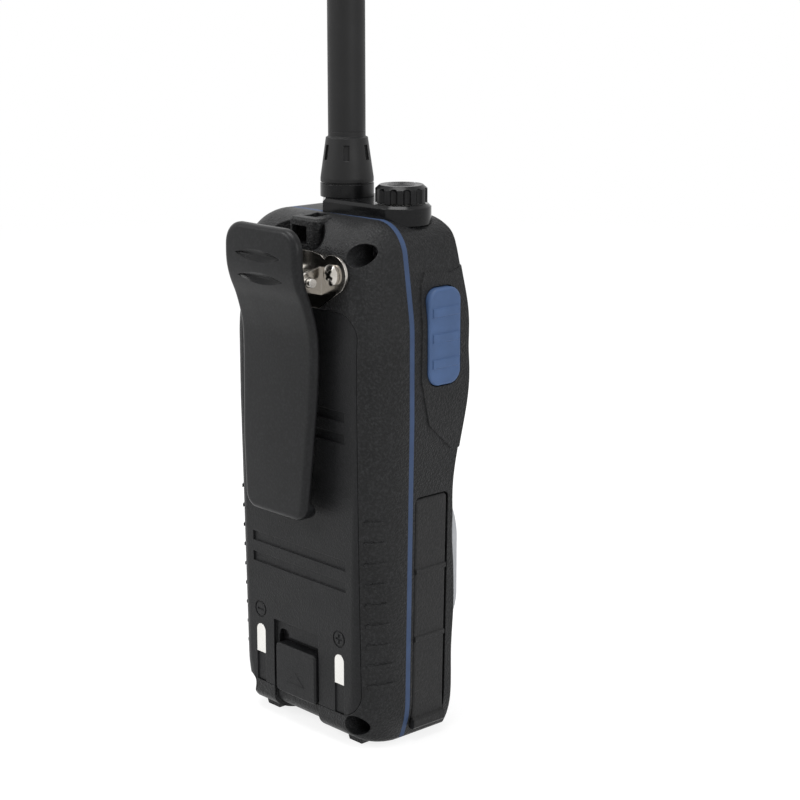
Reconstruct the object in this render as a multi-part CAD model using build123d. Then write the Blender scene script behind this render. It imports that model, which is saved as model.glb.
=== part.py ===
from build123d import *

import os
from math import atan2, cos, degrees, radians, sin

os.makedirs("parts", exist_ok=True)

# Handheld VHF marine radio, millimetres.
# The front faces -Y, the back +Y, the talk key is on the -X side and the feet stand on Z = 0.

# ---------------------------------------------------------------- driving dimensions
# Case outline, seen from the front
foot_height = 0.25
case_height = 129.1
floor_wall = 1.15
bottom_half_width = 23.0
lower_half_width = 25.45
shoulder_half_width = 27.0
top_half_width = 23.5
lower_height = 7.25
shoulder_height = 82.0
shoulder_drop = 24.0
bottom_corner = 2.0
lower_corner = 22.0
shoulder_corner = 30.0
top_corner = 9.0

# Case depth: front shell, seal and rear shell
back_y = 18.0
seal_back_y = 5.5
seal_thickness = 1.5
seal_width = 1.4
back_side_round = 6.3
back_top_round = 8.0
back_bottom_round = 5.3
front_side_overhang = 0.7
front_corner = 3.0
wall = 2.0
top_wall = 4.6

# Front surface: height above the inner floor, Y at the side edge, Y on the middle line
front_stations = (
    (-3.0, -8.2, -9.5), (0.0, -10.2, -12.2), (4.0, -10.4, -13.8), (12.0, -10.2, -15.0),
    (27.0, -10.2, -16.0), (45.0, -9.6, -16.4), (61.0, -9.0, -16.7), (67.0, -9.6, -16.9),
    (72.0, -10.7, -17.1), (77.0, -12.0, -17.4), (81.0, -13.0, -17.6), (92.0, -14.2, -17.9),
    (104.0, -13.9, -17.8), (114.0, -13.2, -16.9), (120.0, -12.6, -15.6), (124.0, -11.8, -14.0),
    (127.0, -10.2, -12.0), (129.4, -7.6, -8.8),
)

# Battery pack and its bay
pack_half_width = 21.85
pack_low_height = 7.1
pack_height = 100.1
pack_corner = 6.0
pack_gap = 0.15
pack_wall = 1.6
pack_lid_thickness = 1.3
bay_floor = 1.5
bay_seal_height = 0.9
bay_seal_width = 1.6
cell_width = 38.0
cell_height = 34.0
cell_thickness = 6.2
grip_groove_half_width = 17.8
grip_groove_height = 2.5
grip_groove_depth = 0.45
grip_groove_heights = (38.8, 44.2, 75.6, 81.0)

# Charge contacts and polarity marks
contact_x = 15.2
contact_width = 3.4
contact_low = 14.7
contact_length = 7.6
contact_thickness = 0.5
channel_depth = 0.35
mark_height = 26.3
mark_diameter = 4.5
mark_line = 0.5

# Battery latch
latch_centre_x = 0.9
latch_half_width = 7.7
latch_nose = 0.5
latch_nose_thickness = 1.6
latch_height = 12.1
latch_thickness = 3.0
latch_travel = 1.4
latch_gap = 0.25
latch_recess_depth = 0.8
latch_recess_left = 10.0
latch_recess_right = -7.3
latch_recess_top = 25.0
latch_proud = 0.8
finger_width = 3.6
finger_height = 2.0

# Case screws
screw_x_top = 20.4
screw_drop_top = 7.0
screw_x_bottom = 19.9
screw_z_bottom = 5.0
screw_head_bore = 5.3
screw_head_diameter = 4.8
screw_head_height = 2.0
screw_shank = 2.9
screw_hole_gap = 0.15
screw_seat_y = 7.6
screw_length = 12.0
boss_diameter = 6.6

# Side ribs on the rear shell
rib_count = 9
rib_first = 15.4
rib_pitch = 5.2
rib_inner_x = 23.2
rib_outer_x = 25.5
rib_thickness = 0.8
rib_proud = 0.3

# Feet
foot_x = 16.0
foot_y_back = 11.9
foot_y_front = -5.0
foot_depth = 3.2
foot_top_width = 6.8
foot_tip_width = 4.5
foot_root_height = 2.4

# Lanyard eyelet on the back of the top
eyelet_half_width = 5.4
eyelet_back_y = 14.8
eyelet_height = 7.6
eyelet_drop = 0.35
eyelet_centre_x = 1.0
eyelet_hole = 4.5
eyelet_hole_x = 2.0
eyelet_hole_y = 9.4
eyelet_mouth_width = 5.4
eyelet_mouth_height = 4.4
eyelet_mouth_drop = 1.9
scoop_radius = 12.5
scoop_middle_y = 11.3
scoop_drop = 8.4
scoop_round = 5.0

# Top collar, antenna and knob
top_y = -3.0
antenna_x = 4.85
knob_x = -14.8
collar_antenna_radius = 8.0
collar_back_y = 5.6
collar_knob_radius = 7.2
collar_height = 3.15
collar_depth = 1.6
collar_chamfer = 0.7
thread_diameter = 6.3
thread_height = 6.0
connector_flange = 9.0
antenna_length = 156.0
antenna_ring_height = 3.6
antenna_ring_diameter = 13.2
antenna_boot_height = 14.3
antenna_boot_diameter = 13.1
antenna_shoulder_diameter = 10.3
antenna_whip_diameter = 9.2
antenna_tip_diameter = 8.4
antenna_slot_count = 6
antenna_slot_width = 1.4
antenna_slot_height = 3.7
antenna_slot_centre = 7.2
antenna_slot_depth = 0.6
knob_diameter = 12.5
knob_height = 4.2
knob_gap = 0.3
knob_flutes = 12
knob_flute_diameter = 2.0
shaft_diameter = 4.0
shaft_clearance = 0.05
pot_size = 9.0
pot_height = 6.0

# Belt clip, bracket and pin
bracket_thickness = 0.8
bracket_screw_x = 14.8
bracket_screw_z = 116.2
bracket_tab_radius = 4.6
bracket_screw_length = 7.5
pan_head_diameter = 5.0
pan_head_rim = 0.8
pan_head_dome = 0.7
pan_head_crown = 3.2
cross_length = 2.6
cross_width = 0.6
ear_inner_x = 9.9
ear_radius = 2.5
pin_diameter = 2.2
pin_clearance = 0.05
pin_y = 22.5
pin_z = 114.3
pin_half_length = 12.1
clip_top = 127.1
clip_bottom = 56.0
clip_thickness = 2.0
clip_stations = (
    (55.0, 11.1, 25.0), (59.0, 11.4, 24.9), (66.0, 12.0, 24.7), (74.0, 12.7, 24.4), (82.6, 13.2, 23.85),
    (91.0, 13.6, 23.45), (97.0, 13.7, 23.35), (102.4, 13.7, 23.7), (108.6, 13.6, 25.4), (113.4, 13.5, 27.4),
    (117.6, 13.4, 28.3), (124.1, 13.2, 28.3), (128.5, 13.2, 28.3),
)
clip_top_corner = 5.0
clip_tip_corner = 4.0
clip_edge_round = 1.4
clip_tip_reach = 4.4
clip_groove_half_width = 8.6
clip_groove_half_height = 1.3
clip_groove_depth = 0.5
clip_groove_x = 1.4
clip_groove_heights = (114.6, 120.2)
spring_wire = 0.7
spring_radius = 1.9
spring_turns = 3
spring_leg = 5.5

# Talk key on the -X side
talk_low = 88.4
talk_height = 23.6
talk_front_y = -10.6
talk_back_y = -0.2
talk_corner = 3.4
talk_gap = 0.25
talk_proud = 0.9
talk_travel = 1.2
talk_flange = 1.1
talk_flange_thickness = 0.8
talk_ridges = 3
talk_ridge_first = 5.5
talk_ridge_pitch = 6.2
talk_ridge_height = 2.4
talk_ridge_proud = 0.35
talk_field_proud = 0.25

# Jack cover on the -X side
cover_low = 1.6
cover_height = 59.6
cover_front_y = -7.4
cover_back_y = 3.0
cover_thickness = 1.6
cover_gap = 0.3
cover_floor_gap = 0.5
cover_corner = 1.2
cover_ridge_heights = (25.2, 42.6)
cover_ridge_width = 1.5
cover_ridge_proud = 0.3
cover_lip_height = 3.0
cover_lip_proud = 0.7
cover_hinge_radius = 0.8
jack_large_z = 25.5
jack_small_z = 12.0
jack_large_bore = 3.6
jack_small_bore = 2.6
jack_body_depth = 9.0

# Display, keys, speaker and microphone
window_half_width = 18.5
window_low = 80.4
window_height = 29.0
window_corner = 3.0
window_thickness = 1.6
window_ledge = 2.0
key_columns = 4
key_rows = 2
key_pitch_x = 10.2
key_pitch_z = 8.2
key_width = 8.4
key_height = 5.6
key_corner = 2.0
key_gap = 0.3
key_proud = 0.9
key_first_z = 66.4
key_travel = 0.8
key_flange = 0.7
key_flange_thickness = 0.8
keypad_half_width = 20.6
keypad_low = 62.0
keypad_top = 79.2
keypad_seat_y = -11.4
mat_thickness = 1.0
bezel_centre_z = 39.7
bezel_width = 42.0
bezel_height = 40.0
bezel_corner = 13.0
bezel_band = 3.4
bezel_middle_y = -18.2
bezel_edge_y = -16.2
grille_sink = 0.8
grille_slot_pitch = 4.0
grille_slot_width = 1.7
grille_slots = 7
speaker_diameter = 32.0
speaker_depth = 7.0
speaker_seat_y = -9.6
microphone_diameter = 6.0
microphone_z = 12.0
microphone_depth = 2.6

# Boards
board_half_width = 20.2
post_x = 18.2
post_heights = (18.2, 58.8, 113.5)
post_diameter = 4.6
board_thickness = 1.6
front_board_thickness = 1.2
board_gap = 0.3

# ---------------------------------------------------------------- derived positions
case_low = foot_height
case_top = case_low + case_height
floor_z = case_low + floor_wall


def z_at(height):
    """Height above the inner floor as a Z coordinate."""
    return floor_z + height


seal_front_y = seal_back_y - seal_thickness
bay_y = seal_back_y + bay_floor
pack_low = z_at(pack_low_height)
pack_top = pack_low + pack_height
collar_top = case_top + collar_height
collar_low = case_top - collar_depth
key_flange_back_y = keypad_seat_y + key_gap + key_flange_thickness
mat_front_y = key_flange_back_y + key_travel + board_gap
front_board_y = mat_front_y + mat_thickness
front_board_back_y = front_board_y + front_board_thickness
main_board_back_y = seal_front_y - 0.8
main_board_y = main_board_back_y - board_thickness
screw_z_top = case_top - screw_drop_top
side_slope = (shoulder_half_width - lower_half_width) / (shoulder_height - lower_height)


# ---------------------------------------------------------------- helpers
def plane_xz(y):
    """Sketch plane facing -Y at the given Y; sketch x, y are model X, Z."""
    return Plane((0, y, 0), x_dir=(1, 0, 0), z_dir=(0, -1, 0))


def along_y(sketch, y0, y1):
    """Solid between y0 and y1 with an XZ outline."""
    return extrude(plane_xz(y1) * sketch, amount=y1 - y0, dir=(0, -1, 0))


def along_x(sketch, x0, x1):
    """Solid between x0 and x1 with a YZ outline."""
    plane = Plane((x0, 0, 0), x_dir=(0, 1, 0), z_dir=(1, 0, 0))
    return extrude(plane * sketch, amount=x1 - x0, dir=(1, 0, 0))


def along_z(sketch, z0, z1):
    """Solid between z0 and z1 with an XY outline."""
    return extrude(Plane.XY.offset(z0) * sketch, amount=z1 - z0, dir=(0, 0, 1))


def box(x0, x1, y0, y1, z0, z1):
    """Box from its six limits."""
    return Pos((x0 + x1) / 2, (y0 + y1) / 2, (z0 + z1) / 2) * Box(x1 - x0, y1 - y0, z1 - z0)


def rod_y(x, z, diameter, y0, y1):
    """Cylinder along Y."""
    return along_y(Pos(x, z) * Circle(diameter / 2), y0, y1)


def rod_x(y, z, diameter, x0, x1):
    """Cylinder along X."""
    return along_x(Pos(y, z) * Circle(diameter / 2), x0, x1)


def rod_z(x, y, diameter, z0, z1):
    """Cylinder along Z."""
    return along_z(Pos(x, y) * Circle(diameter / 2), z0, z1)


def save(name, shape):
    """Write one node."""
    if isinstance(shape, (list, tuple)):
        shape = Compound(children=[solid for item in shape for solid in item.solids()])
    export_step(shape, f"parts/{name}.step")


# ---------------------------------------------------------------- case forms
outline_half = (
    (bottom_half_width, case_low), (lower_half_width, case_low + lower_height),
    (shoulder_half_width, case_low + shoulder_height), (shoulder_half_width, case_top - shoulder_drop),
    (top_half_width, case_top),
)
outline_radii = (bottom_corner, lower_corner, shoulder_corner, shoulder_corner, top_corner)


def case_outline(inset=0.0, bottom_inset=None, top_inset=None):
    """Outline of the case in XZ, drawn in from the side, bottom and top."""
    low = inset if bottom_inset is None else bottom_inset
    top = inset if top_inset is None else top_inset
    lifts = (low, low, 0, -top, -top)
    half = [(x - inset, z + lift) for (x, z), lift in zip(outline_half, lifts)]
    points = half + [(-x, z) for x, z in reversed(half)]
    return make_face(FilletPolyline(*points, radius=[*outline_radii, *reversed(outline_radii)], close=True))


def case_block(inset, y0, y1, bottom_inset=None, top_inset=None):
    """Straight block with the case outline."""
    return along_y(case_outline(inset, bottom_inset, top_inset), y0, y1)


def rear_form(grow=0.0):
    """Outside of the rear shell, grown or shrunk."""
    steps = 5
    sections = []
    for step in range(steps + 1):
        angle = radians(90 * step / steps)
        side = back_side_round * (1 - cos(angle)) - grow
        low = back_bottom_round * (1 - cos(angle)) - grow
        top = back_top_round * (1 - cos(angle)) - grow
        y = seal_back_y + (back_y + grow - seal_back_y) * sin(angle)
        sections.append(plane_xz(y) * case_outline(side, low, top))
    return loft(sections)


def half_width(height):
    """Half width of the case at a height above the inner floor."""
    z = min(max(z_at(height), case_low), case_top)
    for (x0, z0), (x1, z1) in zip(outline_half, outline_half[1:]):
        if z <= z1:
            return x0 + (x1 - x0) * (z - z0) / (z1 - z0)
    return top_half_width


def front_form(grow=0.0):
    """Outside of the front shell's curved face, grown or shrunk, a little wider than the case."""
    sections = []
    for height, edge_y, middle_y in front_stations:
        side = half_width(height) + front_side_overhang + grow
        edge = edge_y - grow
        back = seal_front_y + 4
        outline = Polyline((side, edge), (side, back), (-side, back), (-side, edge))
        face = make_face(outline + ThreePointArc((-side, edge), (0, middle_y - grow), (side, edge)))
        corners = face.vertices().group_by(Axis.Y)[0]
        face = fillet(corners, front_corner + grow)
        sections.append(Plane.XY.offset(z_at(height)) * face)
    return loft(sections)


rear_outer = rear_form()
front_outer = front_form()
front_inner = front_form(-wall)


def rounded(width, height, radius, x=0.0, z=0.0):
    """Rounded rectangle by centre."""
    return Pos(x, z) * RectangleRounded(width, height, radius)


# ---------------------------------------------------------------- battery pack
pack_centre_z = (pack_low + pack_top) / 2


def pack_outline(grow=0.0):
    return rounded(2 * (pack_half_width + grow), pack_height + 2 * grow, pack_corner + grow, 0, pack_centre_z)


lid_front_y = bay_y + bay_seal_height
lid_back_y = lid_front_y + pack_lid_thickness
cells_back_y = lid_back_y + 0.2 + cell_thickness
latch_z0 = pack_low + latch_gap
latch_z1 = latch_z0 + latch_height
latch_face_y = back_y + latch_proud
latch_front_y = latch_face_y - latch_thickness
latch_x0 = latch_centre_x - latch_half_width
latch_x1 = latch_centre_x + latch_half_width
latch_recess_box = box(latch_recess_right, latch_recess_left, bay_y, back_y + 2,
                       case_low - 1, z_at(latch_recess_top))
recess_cut = latch_recess_box - rear_form(-latch_recess_depth)
latch_well = box(latch_x0 - latch_gap, latch_x1 + latch_gap, latch_front_y - latch_gap,
                 back_y + 2, latch_z0 - 3, latch_z1 + latch_travel + latch_gap)

battery_case = (rear_outer & along_y(pack_outline(), lid_back_y, back_y + 2)) - recess_cut - latch_well
finger_top = latch_z1 + latch_travel + finger_height
battery_case -= along_y(rounded(finger_width, 3 * finger_height, finger_width / 2 - 0.4,
                                latch_x1 - finger_width / 2, finger_top - 1.5 * finger_height),
                        latch_front_y, back_y + 2)
cell_bay_low = latch_z1 + 6.0
cell_bay_top = pack_top - 4.0
battery_case -= along_y(rounded(cell_width + 1, cell_bay_top - cell_bay_low, 2, 0,
                                (cell_bay_top + cell_bay_low) / 2), lid_back_y, cells_back_y + 0.2)
for height in grip_groove_heights:
    z = z_at(height)
    battery_case -= box(-grip_groove_half_width, grip_groove_half_width, back_y - grip_groove_depth,
                        back_y + 1, z, z + grip_groove_height)

contact_shape = Pos(0, z_at(contact_low)) * (
    Pos(0, (contact_length - contact_width / 2) / 2) * Rectangle(contact_width, contact_length - contact_width / 2)
    + Pos(0, contact_length - contact_width / 2) * Circle(contact_width / 2))
channel_shape = Pos(0, (z_at(contact_low) + pack_low) / 2 - 1) * Rectangle(
    contact_width, z_at(contact_low) - pack_low + 2)
for side in (1, -1):
    battery_case -= along_y(Pos(side * contact_x, 0) * contact_shape, back_y - contact_thickness, back_y + 1)
    battery_case -= (along_y(Pos(side * contact_x, 0) * channel_shape, bay_y, back_y + 1)
                     - rear_form(-channel_depth))
    ring = Circle(mark_diameter / 2) - Circle(mark_diameter / 2 - mark_line)
    bars = Rectangle(mark_diameter * 0.55, mark_line)
    if side < 0:
        bars += Rectangle(mark_line, mark_diameter * 0.55)
    mark = Pos(side * contact_x, z_at(mark_height)) * (ring + bars)
    battery_case -= along_y(mark, back_y - 0.25, back_y + 1)
save("battery_case", battery_case)

charge_contacts = [along_y(Pos(side * contact_x, 0) * contact_shape, back_y - contact_thickness, back_y)
                   for side in (1, -1)]
save("charge_contacts", charge_contacts)

lid_inset = pack_wall
battery_lid = along_y(pack_outline(-lid_inset), lid_front_y, lid_back_y)
terminal_x = (-12.0, -4.0, 4.0, 12.0)
terminal_z = pack_top - 8.0
terminal_size = 3.0
terminal_cut = [box(x - terminal_size / 2, x + terminal_size / 2, lid_front_y, lid_front_y + 0.5,
                    terminal_z - terminal_size, terminal_z + terminal_size) for x in terminal_x]
for cut in terminal_cut:
    battery_lid -= cut
save("battery_lid", battery_lid)
save("battery_terminals", terminal_cut)

cells = []
for row in range(2):
    z = cell_bay_low + 0.5 + cell_height / 2 + row * (cell_height + 1.0)
    cell = along_y(rounded(cell_width, cell_height, 2.5, 0, z), lid_back_y, lid_back_y + cell_thickness)
    cells.append(cell)
save("battery_cells", cells)

seal_outline = pack_outline(-lid_inset) - pack_outline(-lid_inset - bay_seal_width)
save("battery_seal", along_y(seal_outline, bay_y, lid_front_y))

# Battery latch: a tab whose lower edge laps over the shell's lower band
nose_z = pack_low - latch_nose
nose_front_y = latch_face_y - latch_nose_thickness
tab = box(latch_x0, latch_x1, latch_front_y, latch_face_y, latch_z0, latch_z1)
tab = fillet(tab.edges().filter_by(Axis.Y).group_by(Axis.Z)[-1], 1.2)
nose = box(latch_x0, latch_x1, nose_front_y, latch_face_y, nose_z, latch_z0 + 2)
nose = fillet(nose.edges().filter_by(Axis.Y).group_by(Axis.Z)[0], 1.4)
battery_latch = tab + nose
battery_latch = chamfer(battery_latch.faces().sort_by(Axis.Y)[-1].edges(), 0.4)
save("battery_latch", battery_latch)

# ---------------------------------------------------------------- rear shell
rear_shell = rear_outer - along_y(pack_outline(pack_gap), bay_y, back_y + 2)
ribs = []
for k in range(rib_count):
    z = z_at(rib_first + k * rib_pitch)
    for side in (1, -1):
        x0, x1 = sorted((side * rib_inner_x, side * rib_outer_x))
        ribs.append(box(x0, x1, seal_back_y + wall, back_y, z - rib_thickness / 2, z + rib_thickness / 2))
rib_form = rear_form(rib_proud)
for rib in ribs:
    rear_shell += rib & rib_form

# Lanyard eyelet: a block standing in a scoop, bored from the top and open to the back
eyelet_top = case_top - eyelet_drop
eyelet_low = eyelet_top - eyelet_height
scoop_low = case_top - scoop_drop
scoop = rod_z(eyelet_centre_x, scoop_middle_y + scoop_radius, 2 * scoop_radius, scoop_low, case_top + 12)
scoop = fillet(scoop.faces().sort_by(Axis.Z)[0].edges(), scoop_round)
rear_shell -= scoop
eyelet = box(eyelet_centre_x - eyelet_half_width, eyelet_centre_x + eyelet_half_width, seal_back_y + 1,
             eyelet_back_y, eyelet_low, eyelet_top)
eyelet = fillet(eyelet.edges().filter_by(Axis.Z).group_by(Axis.Y)[-1], 1.6)
eyelet = chamfer(eyelet.faces().sort_by(Axis.Z)[-1].edges().group_by(Axis.Y)[1:], 0.6)
rear_shell += eyelet
mouth_top = eyelet_top - eyelet_mouth_drop
mouth_low = mouth_top - eyelet_mouth_height
rear_shell -= box(eyelet_hole_x - eyelet_hole / 2, eyelet_hole_x + eyelet_hole / 2,
                  eyelet_hole_y - eyelet_hole / 2, eyelet_hole_y + eyelet_hole / 2, mouth_low, case_top + 1)
rear_shell -= box(eyelet_hole_x - eyelet_mouth_width / 2, eyelet_hole_x + eyelet_mouth_width / 2,
                  eyelet_hole_y - eyelet_hole / 2, back_y + 1, mouth_low, mouth_top)

# Room inside the top for the connector and the volume control
rear_shell -= box(-11.5, 11.5, seal_back_y, back_y - 4.5, pack_top + 2.0, scoop_low - 2.2)


def screw_places():
    for side in (1, -1):
        yield side * screw_x_top, screw_z_top
        yield side * screw_x_bottom, z_at(screw_z_bottom)


for x, z in screw_places():
    rear_shell -= rod_y(x, z, screw_head_bore, screw_seat_y, back_y + 3)
    rear_shell -= rod_y(x, z, screw_shank + 2 * screw_hole_gap, seal_back_y - 1, screw_seat_y + 1)


def foot(y):
    """Small tapered foot under the case."""
    top = case_low + foot_root_height
    profile = Polygon((-foot_top_width / 2, top), (-foot_tip_width / 2, 0), (foot_tip_width / 2, 0),
                      (foot_top_width / 2, top), align=None)
    return [along_y(Pos(side * foot_x, 0) * profile, y - foot_depth / 2, y + foot_depth / 2)
            for side in (1, -1)]


for block in foot(foot_y_back):
    rear_shell += block
rear_shell -= recess_cut
rear_shell -= box(latch_x0 - latch_gap, latch_x1 + latch_gap, nose_front_y - latch_gap, back_y + 2,
                  nose_z - latch_gap, pack_low + 1)

# Bay floor contacts: spring fingers on the shell's floor, under the pack's terminals
terminal_springs = []
for x in terminal_x:
    terminal_springs.append(box(x - 0.8, x + 0.8, bay_y, lid_front_y - 0.02, terminal_z - 2.2, terminal_z + 2.2))
save("terminal_springs", terminal_springs)

# Bracket screw holes
for side in (1, -1):
    rear_shell -= rod_y(side * bracket_screw_x, z_at(bracket_screw_z), screw_shank + 0.1, back_y - 8.5, back_y + 1)

# ---------------------------------------------------------------- front shell
front_shell = case_block(0, -22, seal_front_y) & front_outer
cavity = case_block(wall, -22, seal_front_y + 1, floor_wall, top_wall) & front_inner
front_shell -= cavity

# Low field around the talk key
talk_z0 = z_at(talk_low)
talk_z1 = talk_z0 + talk_height
field_points = ((-0.9, 116.0), (0.8, 113.1), (1.5, 108.0), (1.8, 90.0), (-0.7, 79.0), (-8.3, 72.0),
                (-20.0, 72.0), (-20.0, 118.0), (-9.0, 115.0))
field_face = make_face(Polyline(*[(y, z_at(height)) for y, height in field_points], close=True))
talk_field = along_x(field_face, -shoulder_half_width - 1, -shoulder_half_width + 3.0)
talk_field &= case_block(-talk_field_proud, -22, seal_front_y) & front_form(talk_field_proud)
front_shell += talk_field - cavity

# Flat inner land behind the keys and behind the jack recess
front_shell += (box(-keypad_half_width, keypad_half_width, -22, keypad_seat_y, z_at(keypad_low), z_at(keypad_top))
                & front_outer)
front_shell -= box(-keypad_half_width, keypad_half_width, keypad_seat_y, front_board_y, z_at(keypad_low),
                   z_at(keypad_top))
cover_z0 = z_at(cover_low)
cover_z1 = cover_z0 + cover_height
side_angle = degrees(atan2(side_slope, 1))
cover_x = -(lower_half_width + side_slope * (cover_z0 - case_low - lower_height))
recess_x = cover_x + cover_thickness + cover_floor_gap
land_x = recess_x + wall


def ridge_bar(y0, y1, z, x_root, proud, height, soft):
    """Bar along Y on the -X side: its outer long edges are broken by a chamfer."""
    bar = box(x_root - proud, x_root + 1, y0, y1, z - height / 2, z + height / 2)
    return chamfer(bar.edges().filter_by(Axis.Y).group_by(Axis.X)[0], soft)


def leaned(shape):
    """Lean a shape drawn upright at the cover's lower edge along the case's side."""
    return Pos(cover_x, 0, cover_z0) * Rot(0, -side_angle, 0) * Pos(-cover_x, 0, -cover_z0) * shape


side_land = leaned(box(cover_x - 1, land_x, cover_front_y - 2.5, seal_front_y - 0.3, cover_z0 - 2, cover_z1 + 2))
front_shell += side_land & case_block(0, -22, seal_front_y) & front_outer


def cover_outline(grow=0.0):
    """Jack cover outline in YZ."""
    width = cover_back_y - cover_front_y + 2 * grow
    centre = ((cover_back_y + cover_front_y) / 2, (cover_z0 + cover_z1) / 2)
    return Pos(*centre) * RectangleRounded(width, cover_height + 2 * grow, cover_corner + grow)


front_shell -= leaned(along_x(cover_outline(cover_gap), cover_x - 4, recess_x))
jack_y = (cover_front_y + cover_back_y) / 2
jacks = (("jack_large", z_at(jack_large_z), jack_large_bore), ("jack_small", z_at(jack_small_z), jack_small_bore))
for _, z, bore in jacks:
    front_shell -= rod_x(jack_y, z, bore + 1.8, recess_x - 1, land_x + 2)


# Talk key opening
def talk_outline(grow=0.0):
    width = talk_back_y - talk_front_y + 2 * grow
    centre = ((talk_back_y + talk_front_y) / 2, (talk_z0 + talk_z1) / 2)
    return Pos(*centre) * RectangleRounded(width, talk_height + 2 * grow, talk_corner + grow)


front_shell -= along_x(talk_outline(talk_gap), -40, -shoulder_half_width + wall + 3)

# Display window seat and opening
window_z = z_at(window_low) + window_height / 2


def window_outline(grow=0.0):
    return rounded(2 * (window_half_width + grow), window_height + 2 * grow, window_corner + grow, 0, window_z)


window_seat = front_form(-window_thickness)
front_shell -= along_y(window_outline(0.1), -24, 0) - window_seat
front_shell -= along_y(window_outline(-window_ledge), -24, -5)
display_window = (front_outer & along_y(window_outline(), -24, -5)) - window_seat
save("display_window", display_window)


# Key openings
def key_places():
    for row in range(key_rows):
        for column in range(key_columns):
            x = (column - (key_columns - 1) / 2) * key_pitch_x
            yield x, z_at(key_first_z) + row * key_pitch_z


for x, z in key_places():
    front_shell -= along_y(rounded(key_width + 2 * key_gap, key_height + 2 * key_gap, key_corner + key_gap, x, z),
                           -24, -8)

# Speaker seat, bezel and grille
bezel_z = z_at(bezel_centre_z)


def bezel_outline(shrink=0.0):
    return rounded(bezel_width - 2 * shrink, bezel_height - 2 * shrink, bezel_corner - shrink, 0, bezel_z)


grille_seat = front_form(-0.8)
speaker_ring = rod_y(0, bezel_z, speaker_diameter, -22, speaker_seat_y)
speaker_ring -= rod_y(0, bezel_z, speaker_diameter - 3, -23, speaker_seat_y + 1)
front_shell += speaker_ring & front_outer
front_shell -= along_y(bezel_outline(bezel_band - 0.1), -24, 0) - grille_seat
front_shell -= along_y(bezel_outline(bezel_band + 2.2), -24, -11)


def bezel_dome(sink=0.0):
    """Block behind the bezel's shallow curved face, sunk or not."""
    side_x = bezel_width / 2
    arc = ThreePointArc((-side_x, bezel_edge_y + sink), (0, bezel_middle_y + sink), (side_x, bezel_edge_y + sink))
    block = Polyline((side_x, bezel_edge_y + sink), (side_x, -5), (-side_x, -5), (-side_x, bezel_edge_y + sink))
    return along_z(make_face(arc + block), bezel_z - bezel_height, bezel_z + bezel_height)


bezel = (bezel_dome() & along_y(bezel_outline(), -24, -5)) - front_outer - along_y(bezel_outline(bezel_band), -24, 0)
save("speaker_bezel", bezel)
grille = (bezel_dome(grille_sink) & along_y(bezel_outline(bezel_band), -24, -5)) - grille_seat
for k in range(grille_slots):
    offset = (k - (grille_slots - 1) / 2) * grille_slot_pitch
    reach = bezel_width / 2 - bezel_band - 3.5 - (abs(offset) / 6) ** 2
    slot = rounded(2 * reach, grille_slot_width, grille_slot_width / 2 - 0.01, 0, bezel_z + offset)
    grille -= along_y(slot, -24, -5)
save("speaker_grille", grille)

speaker_profile = Polyline((0, 0), (speaker_diameter / 2, 0), (speaker_diameter / 2, 1.2),
                           (speaker_diameter / 2 - 1.5, 1.6), (speaker_diameter * 0.31, 4.0),
                           (speaker_diameter * 0.31, speaker_depth), (0, speaker_depth), (0, 0))
cone_profile = Polyline((0, -1), (speaker_diameter / 2 - 2, -1), (speaker_diameter / 2 - 2, 0.4),
                        (5.5, 2.2), (0, 1.4), (0, -1))
speaker = revolve(Plane.XY * make_face(speaker_profile), Axis.Y) - revolve(make_face(cone_profile), Axis.Y)
save("speaker", Pos(0, speaker_seat_y, bezel_z) * speaker)

# Microphone behind a small hole
microphone_seat_y = -10.6
front_shell += rod_y(0, z_at(microphone_z), microphone_diameter + 2, -20, microphone_seat_y) & front_outer
front_shell -= rod_y(0, z_at(microphone_z), 1.4, -24, -8)
save("microphone", rod_y(0, z_at(microphone_z), microphone_diameter, microphone_seat_y,
                         microphone_seat_y + microphone_depth))

# Screw bosses and board posts
post_places = [(post_x, z_at(post_heights[0])), (-post_x, z_at(post_heights[0])), (post_x, z_at(post_heights[1])),
               (-post_x, z_at(post_heights[1])), (post_x, z_at(post_heights[2]))]
post_room = case_block(0.5, -22, seal_back_y) & front_outer
for x, z in screw_places():
    front_shell += rod_y(x, z, boss_diameter, -22, seal_back_y) & post_room
    front_shell -= rod_y(x, z, screw_shank + 0.1, screw_seat_y - screw_length - 0.5, seal_back_y + 1)
for x, z in post_places:
    front_shell += rod_y(x, z, post_diameter, -22, main_board_y) & post_room
    front_shell -= rod_y(x, z, 1.6, main_board_y - 4.5, main_board_y + 1)
for block in foot(foot_y_front):
    front_shell += block - cavity

case_screws = []
for x, z in screw_places():
    screw = rod_y(x, z, screw_head_diameter, screw_seat_y, screw_seat_y + screw_head_height)
    screw = chamfer(screw.faces().sort_by(Axis.Y)[-1].edges(), 0.5)
    screw -= Pos(x, screw_seat_y + screw_head_height, z) * (Box(2.8, 2.0, 0.7) + Box(0.7, 2.0, 2.8))
    case_screws.append(screw + rod_y(x, z, screw_shank, screw_seat_y - screw_length, screw_seat_y + 0.1))
save("case_screws", case_screws)

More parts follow.
